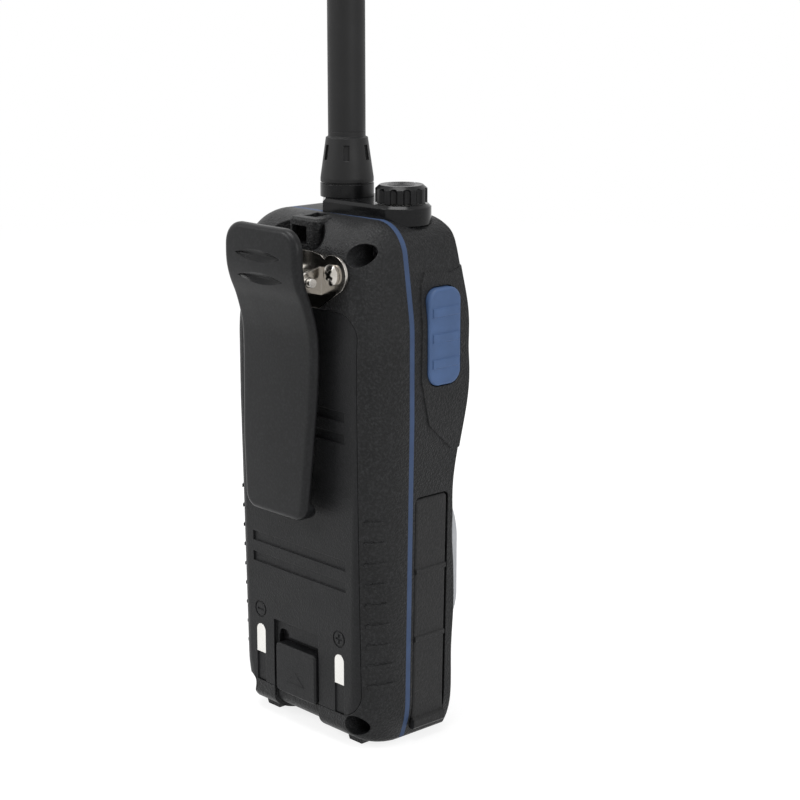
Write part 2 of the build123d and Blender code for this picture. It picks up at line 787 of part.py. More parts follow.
# ---------------------------------------------------------------- top collar
antenna_corners = [(antenna_x + collar_antenna_radius - 2.0, top_y + 2.6), (antenna_x + collar_antenna_radius, top_y),
                   (antenna_x + collar_antenna_radius - 2.0, top_y - 2.6)]
back_corner = (antenna_x - 0.8, collar_back_y)
front_corner_point = (antenna_x - 0.8, 2 * top_y - collar_back_y)
collar_points = [*antenna_corners, front_corner_point, (knob_x, top_y - collar_knob_radius),
                 (knob_x, top_y + collar_knob_radius), back_corner]
collar = (along_z(make_face(Polyline(*collar_points, close=True)), collar_low, collar_top)
          + rod_z(knob_x, top_y, 2 * collar_knob_radius, collar_low, collar_top))
shell_cut = collar
collar = chamfer(collar.faces().sort_by(Axis.Z)[-1].edges(), collar_chamfer)
collar -= rod_z(antenna_x, top_y, thread_diameter + 0.1, collar_low - 1, collar_top + 1)
collar -= rod_z(knob_x, top_y, shaft_diameter + 2.4, collar_low - 1, collar_top + 1)
save("top_collar", collar)
for x, bore in ((antenna_x, thread_diameter + 0.1), (knob_x, shaft_diameter + 2.4)):
    front_shell -= rod_z(x, top_y, bore, z_at(100), collar_top)
front_shell -= shell_cut
rear_shell -= shell_cut
save("rear_shell", rear_shell)
save("front_shell", front_shell)

# Seal between the shells
seal_ring = case_block(0, seal_front_y, seal_back_y) - case_block(seal_width, seal_front_y - 1, seal_back_y + 1)
seal_ring -= shell_cut
for x, z in screw_places():
    seal_ring -= rod_y(x, z, boss_diameter + 0.2, seal_front_y - 1, seal_back_y + 1)
save("case_seal", seal_ring)

# ---------------------------------------------------------------- antenna and connector
ceiling = case_top - top_wall
connector = rod_z(antenna_x, top_y, connector_flange, ceiling - 3.0, ceiling)
connector += rod_z(antenna_x, top_y, thread_diameter, ceiling - 5.0, collar_top + thread_height)
save("antenna_connector", connector)

ring_top = collar_top + antenna_ring_height
boot_top = collar_top + antenna_boot_height
antenna_top = collar_top + antenna_length
antenna_base = rod_z(antenna_x, top_y, antenna_ring_diameter, collar_top, ring_top - 0.4)
antenna_base += rod_z(antenna_x, top_y, antenna_boot_diameter - 0.9, ring_top - 0.5, ring_top)
antenna_base -= rod_z(antenna_x, top_y, thread_diameter + 0.1, collar_top - 1, ring_top + 1)
save("antenna_base", antenna_base)

boot_r = antenna_boot_diameter / 2
shoulder_r = antenna_shoulder_diameter / 2
whip_r = antenna_whip_diameter / 2
cone_low = ring_top + 0.9
boot_line = Polyline((0, ring_top), (boot_r, ring_top), (boot_r, cone_low), (shoulder_r, boot_top),
                     (whip_r, boot_top + 0.3), (whip_r, boot_top + 1.5), (0, boot_top + 1.5), (0, ring_top))
boot = revolve(Plane.XZ * make_face(boot_line), Axis.Z)
cone_slope = (boot_r - shoulder_r) / (boot_top - cone_low)
slot_z = ring_top + antenna_slot_centre
slot_r = boot_r - (slot_z - cone_low) * cone_slope
for k in range(antenna_slot_count):
    slot = Box(2 * antenna_slot_depth, antenna_slot_width, antenna_slot_height)
    slot = Pos(slot_r, 0, slot_z) * Rot(0, -degrees(atan2(cone_slope, 1)), 0) * slot
    boot -= Rot(0, 0, 47.4 + (k + 1.5) * 360 / antenna_slot_count) * slot
boot = Pos(antenna_x, top_y, 0) * boot
boot -= rod_z(antenna_x, top_y, thread_diameter + 0.1, ring_top - 1, collar_top + thread_height + 0.5)
save("antenna_boot", boot)

whip_low = boot_top + 1.5
tip_r = antenna_tip_diameter / 2
whip_line = (Polyline((0, whip_low), (whip_r, whip_low), (whip_r, whip_low + 60), (tip_r, antenna_top - tip_r))
             + ThreePointArc((tip_r, antenna_top - tip_r),
                             (tip_r * sin(radians(45)), antenna_top - tip_r + tip_r * sin(radians(45))),
                             (0, antenna_top))
             + Line((0, antenna_top), (0, whip_low)))
whip = Pos(antenna_x, top_y, 0) * revolve(Plane.XZ * make_face(whip_line), Axis.Z)
save("antenna_whip", whip)

# ---------------------------------------------------------------- volume knob and control
knob_low = collar_top + knob_gap
knob_top = knob_low + knob_height
knob_r = knob_diameter / 2
knob = rod_z(0, 0, knob_diameter, knob_low, knob_top - 0.9)
crown = Solid.make_cone(knob_r, knob_r - 1.0, 0.9, plane=Plane.XY.offset(knob_top - 0.9))
knob += crown
for k in range(knob_flutes):
    flute = rod_z(knob_r + 0.25, 0, knob_flute_diameter, knob_low - 1, knob_top - 1.4)
    flute += Pos(knob_r + 0.25, 0, knob_top - 1.4) * Sphere(knob_flute_diameter / 2)
    knob -= Rot(0, 0, k * 360 / knob_flutes) * flute
knob -= rod_z(0, 0, shaft_diameter, knob_low - 1, knob_top - 1.6)
save("volume_knob", Pos(knob_x, top_y, 0) * knob)
pot_top = screw_z_top - boss_diameter / 2 - 0.4
pot_low = pot_top - pot_height
shaft = rod_z(knob_x, top_y, shaft_diameter, pot_low + 1.5, knob_top - 1.6)
save("volume_shaft", shaft)
pot = box(knob_x - pot_size / 2, knob_x + pot_size / 2, top_y - pot_size / 2, main_board_y, pot_low, pot_top)
pot += rod_z(knob_x, top_y, shaft_diameter + 2.2, pot_top - 0.5, collar_top - 0.6)
pot -= rod_z(knob_x, top_y, shaft_diameter + 2 * shaft_clearance, pot_low + 1.5 - board_gap, collar_top + 1)
save("volume_control", pot)

# ---------------------------------------------------------------- clip bracket
tab_z = z_at(bracket_screw_z)
plate_half = [(0, z_at(120.5)), (7.5, z_at(120.9)), (10.5, z_at(120.4)), (12.2, z_at(119.4))]
plate_sketch = Polygon((-9.8, pack_top + 0.4), (9.8, pack_top + 0.4), (bracket_screw_x + 3.4, tab_z - 3.2),
                       (bracket_screw_x, tab_z + bracket_tab_radius - 0.2), *reversed(plate_half[1:]),
                       *[(-x, z) for x, z in plate_half[1:]],
                       (-bracket_screw_x, tab_z + bracket_tab_radius - 0.2), (-bracket_screw_x - 3.4, tab_z - 3.2),
                       align=None)
for side in (1, -1):
    plate_sketch += Pos(side * bracket_screw_x, tab_z) * Circle(bracket_tab_radius)
plate = along_y(plate_sketch, back_y, back_y + bracket_thickness)
for side in (1, -1):
    plate -= rod_y(side * bracket_screw_x, tab_z, screw_shank + 0.2, back_y - 1, back_y + 2)
pin_height = z_at(pin_z)
ear_sketch = (Pos(pin_y, pin_height) * Circle(ear_radius)
              + Polygon((back_y + bracket_thickness - 0.1, pin_height - 3.4), (pin_y, pin_height - ear_radius),
                        (pin_y, pin_height + ear_radius), (back_y + bracket_thickness - 0.1, pin_height + 3.4),
                        align=None))
ear_sketch -= Pos(pin_y, pin_height) * Circle(pin_diameter / 2 + 0.15)
ear_outer_x = ear_inner_x + bracket_thickness
bracket = plate
for side in (1, -1):
    x0, x1 = sorted((side * ear_inner_x, side * ear_outer_x))
    bracket += along_x(ear_sketch, x0, x1)
save("clip_bracket", bracket)

head_y = back_y + bracket_thickness
bracket_screws = []
for side in (1, -1):
    x, z = side * bracket_screw_x, tab_z
    head = Pos(x, head_y, z) * Rot(-90, 0, 0) * (
        Cylinder(pan_head_diameter / 2, pan_head_rim, align=(Align.CENTER, Align.CENTER, Align.MIN))
        + Pos(0, 0, pan_head_rim) * Solid.make_cone(pan_head_diameter / 2, pan_head_crown / 2, pan_head_dome))
    recess_y = head_y + pan_head_rim + pan_head_dome
    for width, height in ((cross_length, cross_width), (cross_width, cross_length)):
        head -= Pos(x, recess_y, z) * Box(width, 2 * pan_head_dome + 0.6, height)
    bracket_screws.append(head + rod_y(x, z, screw_shank, back_y - bracket_screw_length, head_y + 0.1))
save("bracket_screws", bracket_screws)

pin = rod_x(pin_y, pin_height, pin_diameter, -pin_half_length, pin_half_length)
save("clip_pin", pin)

# ---------------------------------------------------------------- belt clip
clip_z0, clip_z1 = z_at(clip_bottom), z_at(clip_top)


def clip_section(height, half, back):
    """Level section of the clip's outer form, with rolled back corners."""
    face = make_face(Polyline((half, back), (half, 14), (-half, 14), (-half, back), close=True))
    return Plane.XY.offset(z_at(height)) * fillet(face.vertices().group_by(Axis.Y)[-1], clip_edge_round)


clip_form = loft([clip_section(*station) for station in clip_stations])
spine = clip_stations[1:-1]
tip_y = spine[0][2]
pad_y = spine[-1][2]
tip_half, pad_half = clip_stations[0][1], clip_stations[-1][1]
inner_points = [(back - clip_thickness, z_at(height)) for height, _, back in spine]
inner_line = Spline(*inner_points, tangents=((-0.03, 1), (0, 1)))
reach_y = tip_y - clip_tip_reach
side_face = make_face(
    inner_line
    + Polyline(inner_line @ 1, (pad_y - clip_thickness, clip_z1 - 0.4))
    + ThreePointArc((pad_y - clip_thickness, clip_z1 - 0.4), (pad_y - clip_thickness + 0.4, clip_z1),
                    (pad_y - clip_thickness + 0.8, clip_z1 - 0.05))
    + ThreePointArc((pad_y - clip_thickness + 0.8, clip_z1 - 0.05), (pad_y - 0.4, clip_z1 - 1.0),
                    (pad_y + 0.2, clip_z1 - 3.0))
    + Polyline((pad_y + 0.2, clip_z1 - 3.0), (pad_y + 4, clip_z1 - 3.0), (pad_y + 4, clip_z0 + 3.0),
               (tip_y + 0.2, clip_z0 + 3.0))
    + ThreePointArc((tip_y + 0.2, clip_z0 + 3.0), (tip_y - 0.7, clip_z0 + 0.9), (tip_y - 2.6, clip_z0))
    + ThreePointArc((tip_y - 2.6, clip_z0), (reach_y, clip_z0 + 0.9), (tip_y - 3.0, clip_z0 + 1.9))
    + Line((tip_y - 3.0, clip_z0 + 1.9), inner_line @ 0))
belt_clip = clip_form & along_x(side_face, -20, 20)
for side in (1, -1):
    for half, end_z, radius, step in ((pad_half, clip_z1, clip_top_corner, -1),
                                      (tip_half, clip_z0, clip_tip_corner, 1)):
        x0, x1 = sorted((side * (half - radius), side * (half + 3)))
        z0, z1 = sorted((end_z + step * radius, end_z - step * 3))
        belt_clip -= box(x0, x1, 14, 40, z0, z1) - rod_y(side * (half - radius), end_z + step * radius,
                                                         2 * radius, 13, 41)
for side in (1, -1):
    x0, x1 = sorted((side * 6.6, side * (ear_inner_x - 0.35)))
    lug = Pos(pin_y, pin_height) * Circle(2.5) + Polygon(
        (pin_y, pin_height - 2.5), (pad_y - 1.2, pin_height - 3.2),
        (pad_y - 1.2, pin_height + 3.2), (pin_y, pin_height + 2.5), align=None)
    belt_clip += along_x(lug, x0, x1)
belt_clip -= rod_x(pin_y, pin_height, pin_diameter + 2 * pin_clearance, -20, 20)
groove_arc = (clip_groove_half_width ** 2 + clip_groove_half_height ** 2) / (2 * clip_groove_half_height)
for height in clip_groove_heights:
    lens_low = Pos(clip_groove_x, z_at(height) + groove_arc - clip_groove_half_height) * Circle(groove_arc)
    lens_high = Pos(clip_groove_x, z_at(height) - groove_arc + clip_groove_half_height) * Circle(groove_arc)
    belt_clip -= along_y(lens_low & lens_high, pad_y - clip_groove_depth, pad_y + 1)
save("belt_clip", belt_clip)

# Torsion spring round the pin: coil and two legs
coil_length = spring_wire * 1.15 * spring_turns
helix = Helix(pitch=coil_length / spring_turns, height=coil_length, radius=spring_radius)
coil = sweep(Plane(origin=helix @ 0, z_dir=helix % 0) * Circle(spring_wire / 2), path=helix)
coil = Pos(-coil_length / 2, pin_y, pin_height) * Rot(0, 90, 0) * coil
coil_pitch = coil_length / spring_turns
leg_up_x = -coil_length / 2 + (spring_turns - 0.75) * coil_pitch
leg_down_x = -coil_length / 2 + 0.75 * coil_pitch
coil += rod_z(leg_up_x, pin_y + spring_radius, spring_wire, pin_height, pin_height + spring_leg)
coil += rod_z(leg_down_x, pin_y - spring_radius, spring_wire, pin_height - spring_leg, pin_height)
save("clip_spring", coil)

# ---------------------------------------------------------------- talk key and its switch
talk_face_x = -(shoulder_half_width + talk_proud)
flange_x = -(half_width(talk_low + talk_height) - wall - talk_gap)
talk_key = along_x(talk_outline(), talk_face_x, flange_x)
talk_key = fillet(talk_key.faces().sort_by(Axis.X)[0].edges(), 0.8)
for k in range(talk_ridges):
    z = talk_z0 + talk_ridge_first + k * talk_ridge_pitch
    talk_key += ridge_bar(talk_front_y + 0.9, talk_back_y - 0.9, z, talk_face_x, talk_ridge_proud,
                          talk_ridge_height, talk_ridge_proud - 0.05)
flange_room = case_block(wall + talk_gap, -22, seal_front_y, floor_wall + talk_gap, top_wall + talk_gap)
flange_room &= front_form(-wall - talk_gap)
talk_key += along_x(talk_outline(talk_flange), flange_x, flange_x + talk_flange_thickness) & flange_room
switch_z = (talk_z0 + talk_z1) / 2
plunger_x = flange_x + talk_flange_thickness + 1.0
switch_face_x = plunger_x + talk_travel + board_gap
talk_key += rod_x(front_board_back_y + 1.8, switch_z, 3.0, flange_x + 0.4, plunger_x)
save("talk_key", talk_key)
save("talk_switch", box(switch_face_x, switch_face_x + 4.5, front_board_back_y, front_board_back_y + 3.6,
                        switch_z - 3, switch_z + 3))

# ---------------------------------------------------------------- keys
for index, (x, z) in enumerate(key_places(), start=1):
    stem = along_y(rounded(key_width, key_height, key_corner, x, z), -24, keypad_seat_y + key_gap)
    key = stem & front_form(key_proud)
    key += along_y(rounded(key_width + 2 * key_flange, key_height + 2 * key_flange, key_corner, x, z),
                   keypad_seat_y + key_gap, key_flange_back_y)
    save(f"key_{index}", key)

mat_height = keypad_top - keypad_low - 0.4
mat = along_y(rounded(2 * keypad_half_width - 1.2, mat_height, 1.5, 0, z_at((keypad_top + keypad_low) / 2)),
              mat_front_y, front_board_y)
save("keypad_mat", mat)

# ---------------------------------------------------------------- boards
front_board_low = z_at(keypad_low)
front_board_top = z_at(window_low) + window_height + 1.0
front_board = along_y(rounded(2 * board_half_width, front_board_top - front_board_low, 1.5, 0,
                              (front_board_top + front_board_low) / 2), front_board_y, front_board_back_y)
save("front_board", front_board)
lcd_front_y = front_board_y - 5.0
lcd = along_y(rounded(35.0, window_height - 1.5, 1.0, 0, window_z), lcd_front_y, front_board_y)
lcd -= along_y(rounded(31.0, window_height - 5.0, 0.8, 0, window_z), lcd_front_y - 1, lcd_front_y + 0.4)
save("display_module", lcd)

spacers = [rod_y(side * 17.5, z, 3.6, front_board_back_y, main_board_y)
           for side in (1, -1) for z in (front_board_low + 3, front_board_top - 3)]
save("board_spacers", spacers)

main_low, main_top = z_at(11.0), z_at(117.0)
main_board = along_y(rounded(2 * board_half_width, main_top - main_low, 1.5, 0, (main_low + main_top) / 2),
                     main_board_y, main_board_back_y)
for x, z in post_places:
    main_board -= rod_y(x, z, 2.2, main_board_y - 1, main_board_back_y + 1)
save("main_board", main_board)
board_screws = [rod_y(x, z, 3.4, main_board_back_y, main_board_back_y + 0.6)
                + rod_y(x, z, 1.5, main_board_y - 4.0, main_board_back_y + 0.1) for x, z in post_places]
save("board_screws", board_screws)
shield = box(-13.5, 13.5, main_board_y - 3.2, main_board_y, z_at(66), z_at(106))
shield = fillet(shield.edges().filter_by(Axis.Y), 1.0)
save("rf_shield", shield)

# ---------------------------------------------------------------- jack cover and sockets
jack_cover = along_x(cover_outline(), cover_x, cover_x + cover_thickness)
top_edges = jack_cover.edges().filter_by(Axis.Y).group_by(Axis.Z)[-1]
jack_cover = fillet(top_edges, cover_hinge_radius - 0.05)
for height in cover_ridge_heights:
    jack_cover += ridge_bar(cover_front_y + 0.3, cover_back_y - 0.3, z_at(height), cover_x, cover_ridge_proud,
                            cover_ridge_width, cover_ridge_proud - 0.05)
jack_cover += ridge_bar(cover_front_y, cover_back_y, cover_z0 + cover_lip_height / 2, cover_x, cover_lip_proud,
                        cover_lip_height, cover_lip_proud - 0.1)
save("jack_cover", leaned(jack_cover))
jack_face_x = land_x + 1.4
for name, z, bore in jacks:
    jack = box(jack_face_x, jack_face_x + jack_body_depth, jack_y - 3.2, main_board_y, z - 3.4, z + 3.4)
    jack += rod_x(jack_y, z, bore + 1.6, recess_x + 0.9, jack_face_x + 0.1)
    jack -= rod_x(jack_y, z, bore, recess_x, jack_face_x + jack_body_depth - 1)
    save(name, jack)
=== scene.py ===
import math

import bmesh
import bpy
from mathutils import Matrix, Vector
from mathutils.bvhtree import BVHTree


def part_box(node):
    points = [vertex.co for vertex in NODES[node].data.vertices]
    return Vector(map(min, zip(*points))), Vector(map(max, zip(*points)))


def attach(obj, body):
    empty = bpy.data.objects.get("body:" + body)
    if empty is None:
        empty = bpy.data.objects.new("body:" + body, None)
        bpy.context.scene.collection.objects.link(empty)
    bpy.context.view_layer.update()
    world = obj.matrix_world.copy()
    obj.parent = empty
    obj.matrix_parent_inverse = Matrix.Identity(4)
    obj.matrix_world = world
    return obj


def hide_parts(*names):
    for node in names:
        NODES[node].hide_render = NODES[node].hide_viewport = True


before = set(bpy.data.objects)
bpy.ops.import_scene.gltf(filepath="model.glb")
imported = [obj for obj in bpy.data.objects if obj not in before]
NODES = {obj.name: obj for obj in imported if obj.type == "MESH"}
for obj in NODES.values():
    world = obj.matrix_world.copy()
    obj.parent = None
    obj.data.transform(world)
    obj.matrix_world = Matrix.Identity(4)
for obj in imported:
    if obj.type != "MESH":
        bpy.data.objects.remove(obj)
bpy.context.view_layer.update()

# Handheld VHF marine radio: materials, small fittings, lights and camera, in the CAD frame.
# The front faces -Y, the back +Y, the talk key is on the -X side and the feet stand on Z = 0.
# Lengths of the fittings are in millimetres, and MM turns them into metres. The floor, the lights and the
# camera are in metres, as in Blender.

MM = 0.001

# ---------------------------------------------------------------- colours, linear
BLACK_GRAIN = (0.0075, 0.0077, 0.0081)
BLACK_SATIN = (0.0066, 0.0068, 0.0074)
BLACK_GLOSS = (0.0050, 0.0051, 0.0055)
BLACK_RUBBER = (0.0080, 0.0080, 0.0083)
BLACK_COMPONENT = (0.02, 0.02, 0.021)
BLACK_GAUZE = (0.020, 0.020, 0.022)
KEY_RUBBER = (0.016, 0.0165, 0.0175)
BLUE_KEY = (0.050, 0.092, 0.195)
BLUE_SEAL = (0.032, 0.056, 0.118)
NICKEL = (0.50, 0.475, 0.44)
# darker nickel in the screws' cross recesses: painted shade
NICKEL_PAINTED_SHADE = (0.075, 0.070, 0.064)
CONTACT = (0.80, 0.79, 0.76)
BRIGHT_STEEL = (0.74, 0.73, 0.71)
BLACKENED_STEEL = (0.10, 0.10, 0.105)
TIN = (0.62, 0.62, 0.60)
BRASS = (0.70, 0.52, 0.26)
SILVER_PAINT = (0.42, 0.43, 0.45)
CELL_WRAP = (0.05, 0.07, 0.10)
WINDOW_SMOKE = (0.55, 0.60, 0.60)
SOLDER_MASK = (0.012, 0.085, 0.035)
MASKED_COPPER = (0.05, 0.16, 0.06)
WHITE_PRINT = (0.62, 0.63, 0.64)
LCD_PANEL = (0.52, 0.58, 0.52)
LCD_INK = (0.010, 0.012, 0.013)
FLOOR_DARK, FLOOR_LIGHT = (0.84, 0.84, 0.84), (0.86, 0.86, 0.86)
FLOOR_SHADOWED = (0.26, 0.26, 0.26, 1.0)

# radii of the rounded edges that only the shading has
METAL_EDGE, SMALL_EDGE, PLASTIC_EDGE, SOFT_EDGE = 0.12 * MM, 0.08 * MM, 0.25 * MM, 0.3 * MM


# ---------------------------------------------------------------- material helpers
class Nodes:
    """A material's node tree with short calls for the nodes used here."""

    def __init__(self, name):
        self.material = bpy.data.materials.new(name)
        self.material.use_nodes = True
        self.tree = self.material.node_tree
        self.tree.nodes.clear()
        self.output = self.add("ShaderNodeOutputMaterial")
        self.shader = self.add("ShaderNodeBsdfPrincipled")
        self.link(self.shader.outputs[0], self.output.inputs["Surface"])
        self.place = self.add("ShaderNodeTexCoord").outputs["Object"]

    def add(self, kind, **settings):
        node = self.tree.nodes.new(kind)
        for key, value in settings.items():
            setattr(node, key, value)
        return node

    def link(self, source, target):
        self.tree.links.new(source, target)

    def noise(self, scale, detail=3.0, roughness=0.55, stretch=None):
        """Noise factor in object space; scale is features per metre."""
        node = self.add("ShaderNodeTexNoise")
        node.inputs["Scale"].default_value = scale
        node.inputs["Detail"].default_value = detail
        node.inputs["Roughness"].default_value = roughness
        self.link(self.stretched(stretch), node.inputs["Vector"])
        return node.outputs[0]

    def cells(self, scale):
        """Distance to the nearest point of a random grain."""
        node = self.add("ShaderNodeTexVoronoi")
        node.inputs["Scale"].default_value = scale
        self.link(self.place, node.inputs["Vector"])
        return node.outputs["Distance"]

    def bands(self, direction, scale):
        """Parallel bands across one axis."""
        node = self.add("ShaderNodeTexWave", wave_type="BANDS", bands_direction=direction)
        node.inputs["Scale"].default_value = scale
        self.link(self.place, node.inputs["Vector"])
        return node.outputs["Fac"]

    def stretched(self, stretch):
        """Object coordinates, multiplied by stretch where it is given."""
        if stretch is None:
            return self.place
        mapping = self.add("ShaderNodeMapping")
        mapping.inputs["Scale"].default_value = stretch
        self.link(self.place, mapping.inputs["Vector"])
        return mapping.outputs[0]

    def ramp(self, factor, low, high, start=0.3, end=0.7):
        """Remap a factor from start..end to low..high."""
        node = self.add("ShaderNodeMapRange")
        node.inputs["From Min"].default_value = start
        node.inputs["From Max"].default_value = end
        node.inputs["To Min"].default_value = low
        node.inputs["To Max"].default_value = high
        self.link(factor, node.inputs["Value"])
        return node.outputs[0]

    def tint(self, factor, first, second):
        """Mix two colours."""
        node = self.add("ShaderNodeMix", data_type="RGBA")
        self.link(factor, node.inputs["Factor"])
        for socket, colour in (("A", first), ("B", second)):
            target = [i for i in node.inputs if i.name == socket and i.type == "RGBA"][0]
            if hasattr(colour, "links"):
                self.link(colour, target)
            else:
                target.default_value = (*colour, 1.0)
        return [o for o in node.outputs if o.type == "RGBA"][0]

    def bump(self, height, strength, depth, normal=None):
        node = self.add("ShaderNodeBump")
        node.inputs["Strength"].default_value = strength
        node.inputs["Distance"].default_value = depth
        self.link(height, node.inputs["Height"])
        if normal is not None:
            self.link(normal, node.inputs["Normal"])
        return node.outputs[0]

    def soft_edges(self, radius):
        """Normals rounded over sharp edges by a small radius."""
        node = self.add("ShaderNodeBevel", samples=6)
        node.inputs["Radius"].default_value = radius
        return node.outputs[0]

    def edge_mask(self, radius):
        """0 on open faces, towards 1 along sharp edges."""
        bevel = self.soft_edges(radius)
        geometry = self.add("ShaderNodeNewGeometry")
        dot = self.add("ShaderNodeVectorMath", operation="DOT_PRODUCT")
        self.link(bevel, dot.inputs[0])
        self.link(geometry.outputs["Normal"], dot.inputs[1])
        return self.ramp(dot.outputs["Value"], low=1.0, high=0.0, start=0.75, end=0.99)

    def mix_shader(self, factor, first, second):
        node = self.add("ShaderNodeMixShader")
        for source, target in zip((factor, first, second), node.inputs):
            self.link(source, target)
        return node.outputs[0]

    def set(self, **values):
        """Set or link the shader's sockets, and give the material back."""
        for key, value in values.items():
            socket = self.shader.inputs[key.replace("_", " ")]
            if hasattr(value, "links"):
                self.link(value, socket)
            elif isinstance(value, tuple):
                socket.default_value = (*value, 1.0)
            else:
                socket.default_value = value
        return self.material


def lighter(colour, factor):
    """A colour times a factor, darker where that is under 1."""
    return tuple(min(1.0, channel * factor) for channel in colour)


def moulded(name, colour, roughness, grain, grain_depth, variation=0.25, edge=1.7,
            edge_radius=PLASTIC_EDGE, specular=0.20, painted_glint_brightness=2.0):
    """Moulded plastic: spark-eroded grain, slow colour and gloss variation, bright specks painted into the
    colour as glints, and edges lighter, partly worn and partly a painted highlight.
    """
    n = Nodes(name)
    cloud = n.ramp(n.noise(scale=55.0, detail=4.0), low=0.0, high=1.0)
    # bright specks painted into the colour: painted glints of light on the grain
    painted_glints = n.ramp(n.noise(scale=1500.0, detail=2.0), low=0.0, high=0.5, start=0.45, end=0.75)
    # lighter along sharp edges: partly wear, partly a painted highlight
    worn_and_highlit = n.ramp(n.edge_mask(edge_radius), low=0.0, high=0.6, start=0.0, end=1.0)
    shade = n.tint(cloud, lighter(colour, 1 - variation), lighter(colour, 1 + variation))
    shade = n.tint(painted_glints, shade, lighter(colour, painted_glint_brightness))
    shade = n.tint(worn_and_highlit, shade, lighter(colour, edge))
    pits = n.noise(scale=grain * 0.7, detail=3.0, roughness=0.65)
    surface = n.bump(n.cells(grain), strength=0.6, depth=grain_depth, normal=n.soft_edges(edge_radius))
    surface = n.bump(pits, strength=0.7, depth=grain_depth, normal=surface)
    gloss = n.ramp(n.noise(scale=120.0), low=roughness - 0.05, high=roughness + 0.06)
    return n.set(Base_Color=shade, Roughness=gloss, Normal=surface, IOR=1.48, Specular_IOR_Level=specular)


def metal(name, colour, roughness, brush=(1.0, 1.0, 1.0), tarnish=0.10):
    """Plated or bare metal with fine scratches and slow tarnish."""
    n = Nodes(name)
    cloud = n.ramp(n.noise(scale=160.0, detail=4.0), low=0.0, high=1.0, start=0.35, end=0.7)
    shade = n.tint(cloud, lighter(colour, 1 - tarnish), lighter(colour, 1 + tarnish / 2))
    lines = n.noise(scale=2600.0, detail=2.0, stretch=brush)
    surface = n.bump(lines, strength=0.05, depth=0.01 * MM, normal=n.soft_edges(METAL_EDGE))
    gloss = n.ramp(n.noise(scale=420.0), low=roughness - 0.03, high=roughness + 0.05)
    return n.set(Base_Color=shade, Metallic=1.0, Roughness=gloss, Normal=surface)


def rubber(name, colour, roughness, edge=1.5):
    """Matt elastomer: very fine tooth, dust caught in it, soft edges that are lighter, partly worn and partly
    a painted highlight.
    """
    n = Nodes(name)
    dust = n.ramp(n.noise(scale=210.0, detail=5.0), low=0.0, high=0.8, start=0.4, end=0.75)
    # lighter along sharp edges: partly wear, partly a painted highlight
    worn_and_highlit = n.ramp(n.edge_mask(SOFT_EDGE), low=0.0, high=0.7, start=0.0, end=1.0)
    shade = n.tint(worn_and_highlit, n.tint(dust, colour, lighter(colour, 1.25)), lighter(colour, edge))
    surface = n.bump(n.noise(scale=1500.0), strength=0.16, depth=0.04 * MM, normal=n.soft_edges(SOFT_EDGE))
    gloss = n.ramp(n.noise(scale=90.0), low=roughness - 0.06, high=roughness + 0.05)
    return n.set(Base_Color=shade, Roughness=gloss, Normal=surface, IOR=1.5, Specular_IOR_Level=0.26)


def clear_window(name):
    """Tinted acrylic over the display."""
    n = Nodes(name)
    ripple = n.noise(scale=700.0, detail=2.0)
    surface = n.bump(ripple, strength=0.02, depth=0.02 * MM, normal=n.soft_edges(SOFT_EDGE))
    haze = n.ramp(n.noise(scale=300.0), low=0.03, high=0.08)
    return n.set(Base_Color=WINDOW_SMOKE, Roughness=haze, Normal=surface, Transmission_Weight=0.92, IOR=1.49)


def circuit(name):
    """Green solder mask with copper tracks under it."""
    n = Nodes(name)
    tracks = n.add("ShaderNodeTexBrick")
    tracks.inputs["Scale"].default_value = 260.0
    tracks.inputs["Mortar Size"].default_value = 0.04
    n.link(n.stretched((1.0, 1.0, 0.6)), tracks.inputs["Vector"])
    shade = n.tint(n.ramp(tracks.outputs["Fac"], low=0.0, high=1.0, start=0.0, end=1.0),
                   SOLDER_MASK, MASKED_COPPER)
    surface = n.bump(tracks.outputs["Fac"], strength=0.2, depth=0.03 * MM)
    return n.set(Base_Color=shade, Roughness=0.34, Normal=surface)


def print_ink(name, colour):
    """Pad-printed ink: slightly uneven colour and gloss."""
    n = Nodes(name)
    cloud = n.ramp(n.noise(scale=1400.0), low=0.0, high=1.0)
    shade = n.tint(cloud, lighter(colour, 0.9), lighter(colour, 1.08))
    gloss = n.ramp(n.noise(scale=800.0, detail=2.0), low=0.5, high=0.62)
    return n.set(Base_Color=shade, Roughness=gloss)


def woven(name, colour):
    """Fine dark gauze: crossed threads in relief."""
    n = Nodes(name)
    crossed = n.add("ShaderNodeMath", operation="MULTIPLY")
    for direction, target in zip(("X", "Z"), crossed.inputs):
        n.link(n.bands(direction, scale=420.0), target)
    shade = n.tint(crossed.outputs[0], lighter(colour, 0.5), lighter(colour, 1.8))
    surface = n.bump(crossed.outputs[0], strength=0.7, depth=0.1 * MM)
    return n.set(Base_Color=shade, Roughness=n.ramp(n.noise(scale=700.0), low=0.6, high=0.75), Normal=surface)


def lcd_glass(name, colour):
    """Reflective display: faint pixel rows over a pale grey-green ground."""
    n = Nodes(name)
    rows = n.ramp(n.bands("Z", scale=620.0), low=0.0, high=0.35, start=0.0, end=1.0)
    shade = n.tint(rows, colour, lighter(colour, 0.8))
    shade = n.tint(n.ramp(n.noise(scale=60.0), low=0.0, high=0.4), shade, lighter(colour, 1.1))
    return n.set(Base_Color=shade, Roughness=n.ramp(n.noise(scale=500.0), low=0.35, high=0.45))


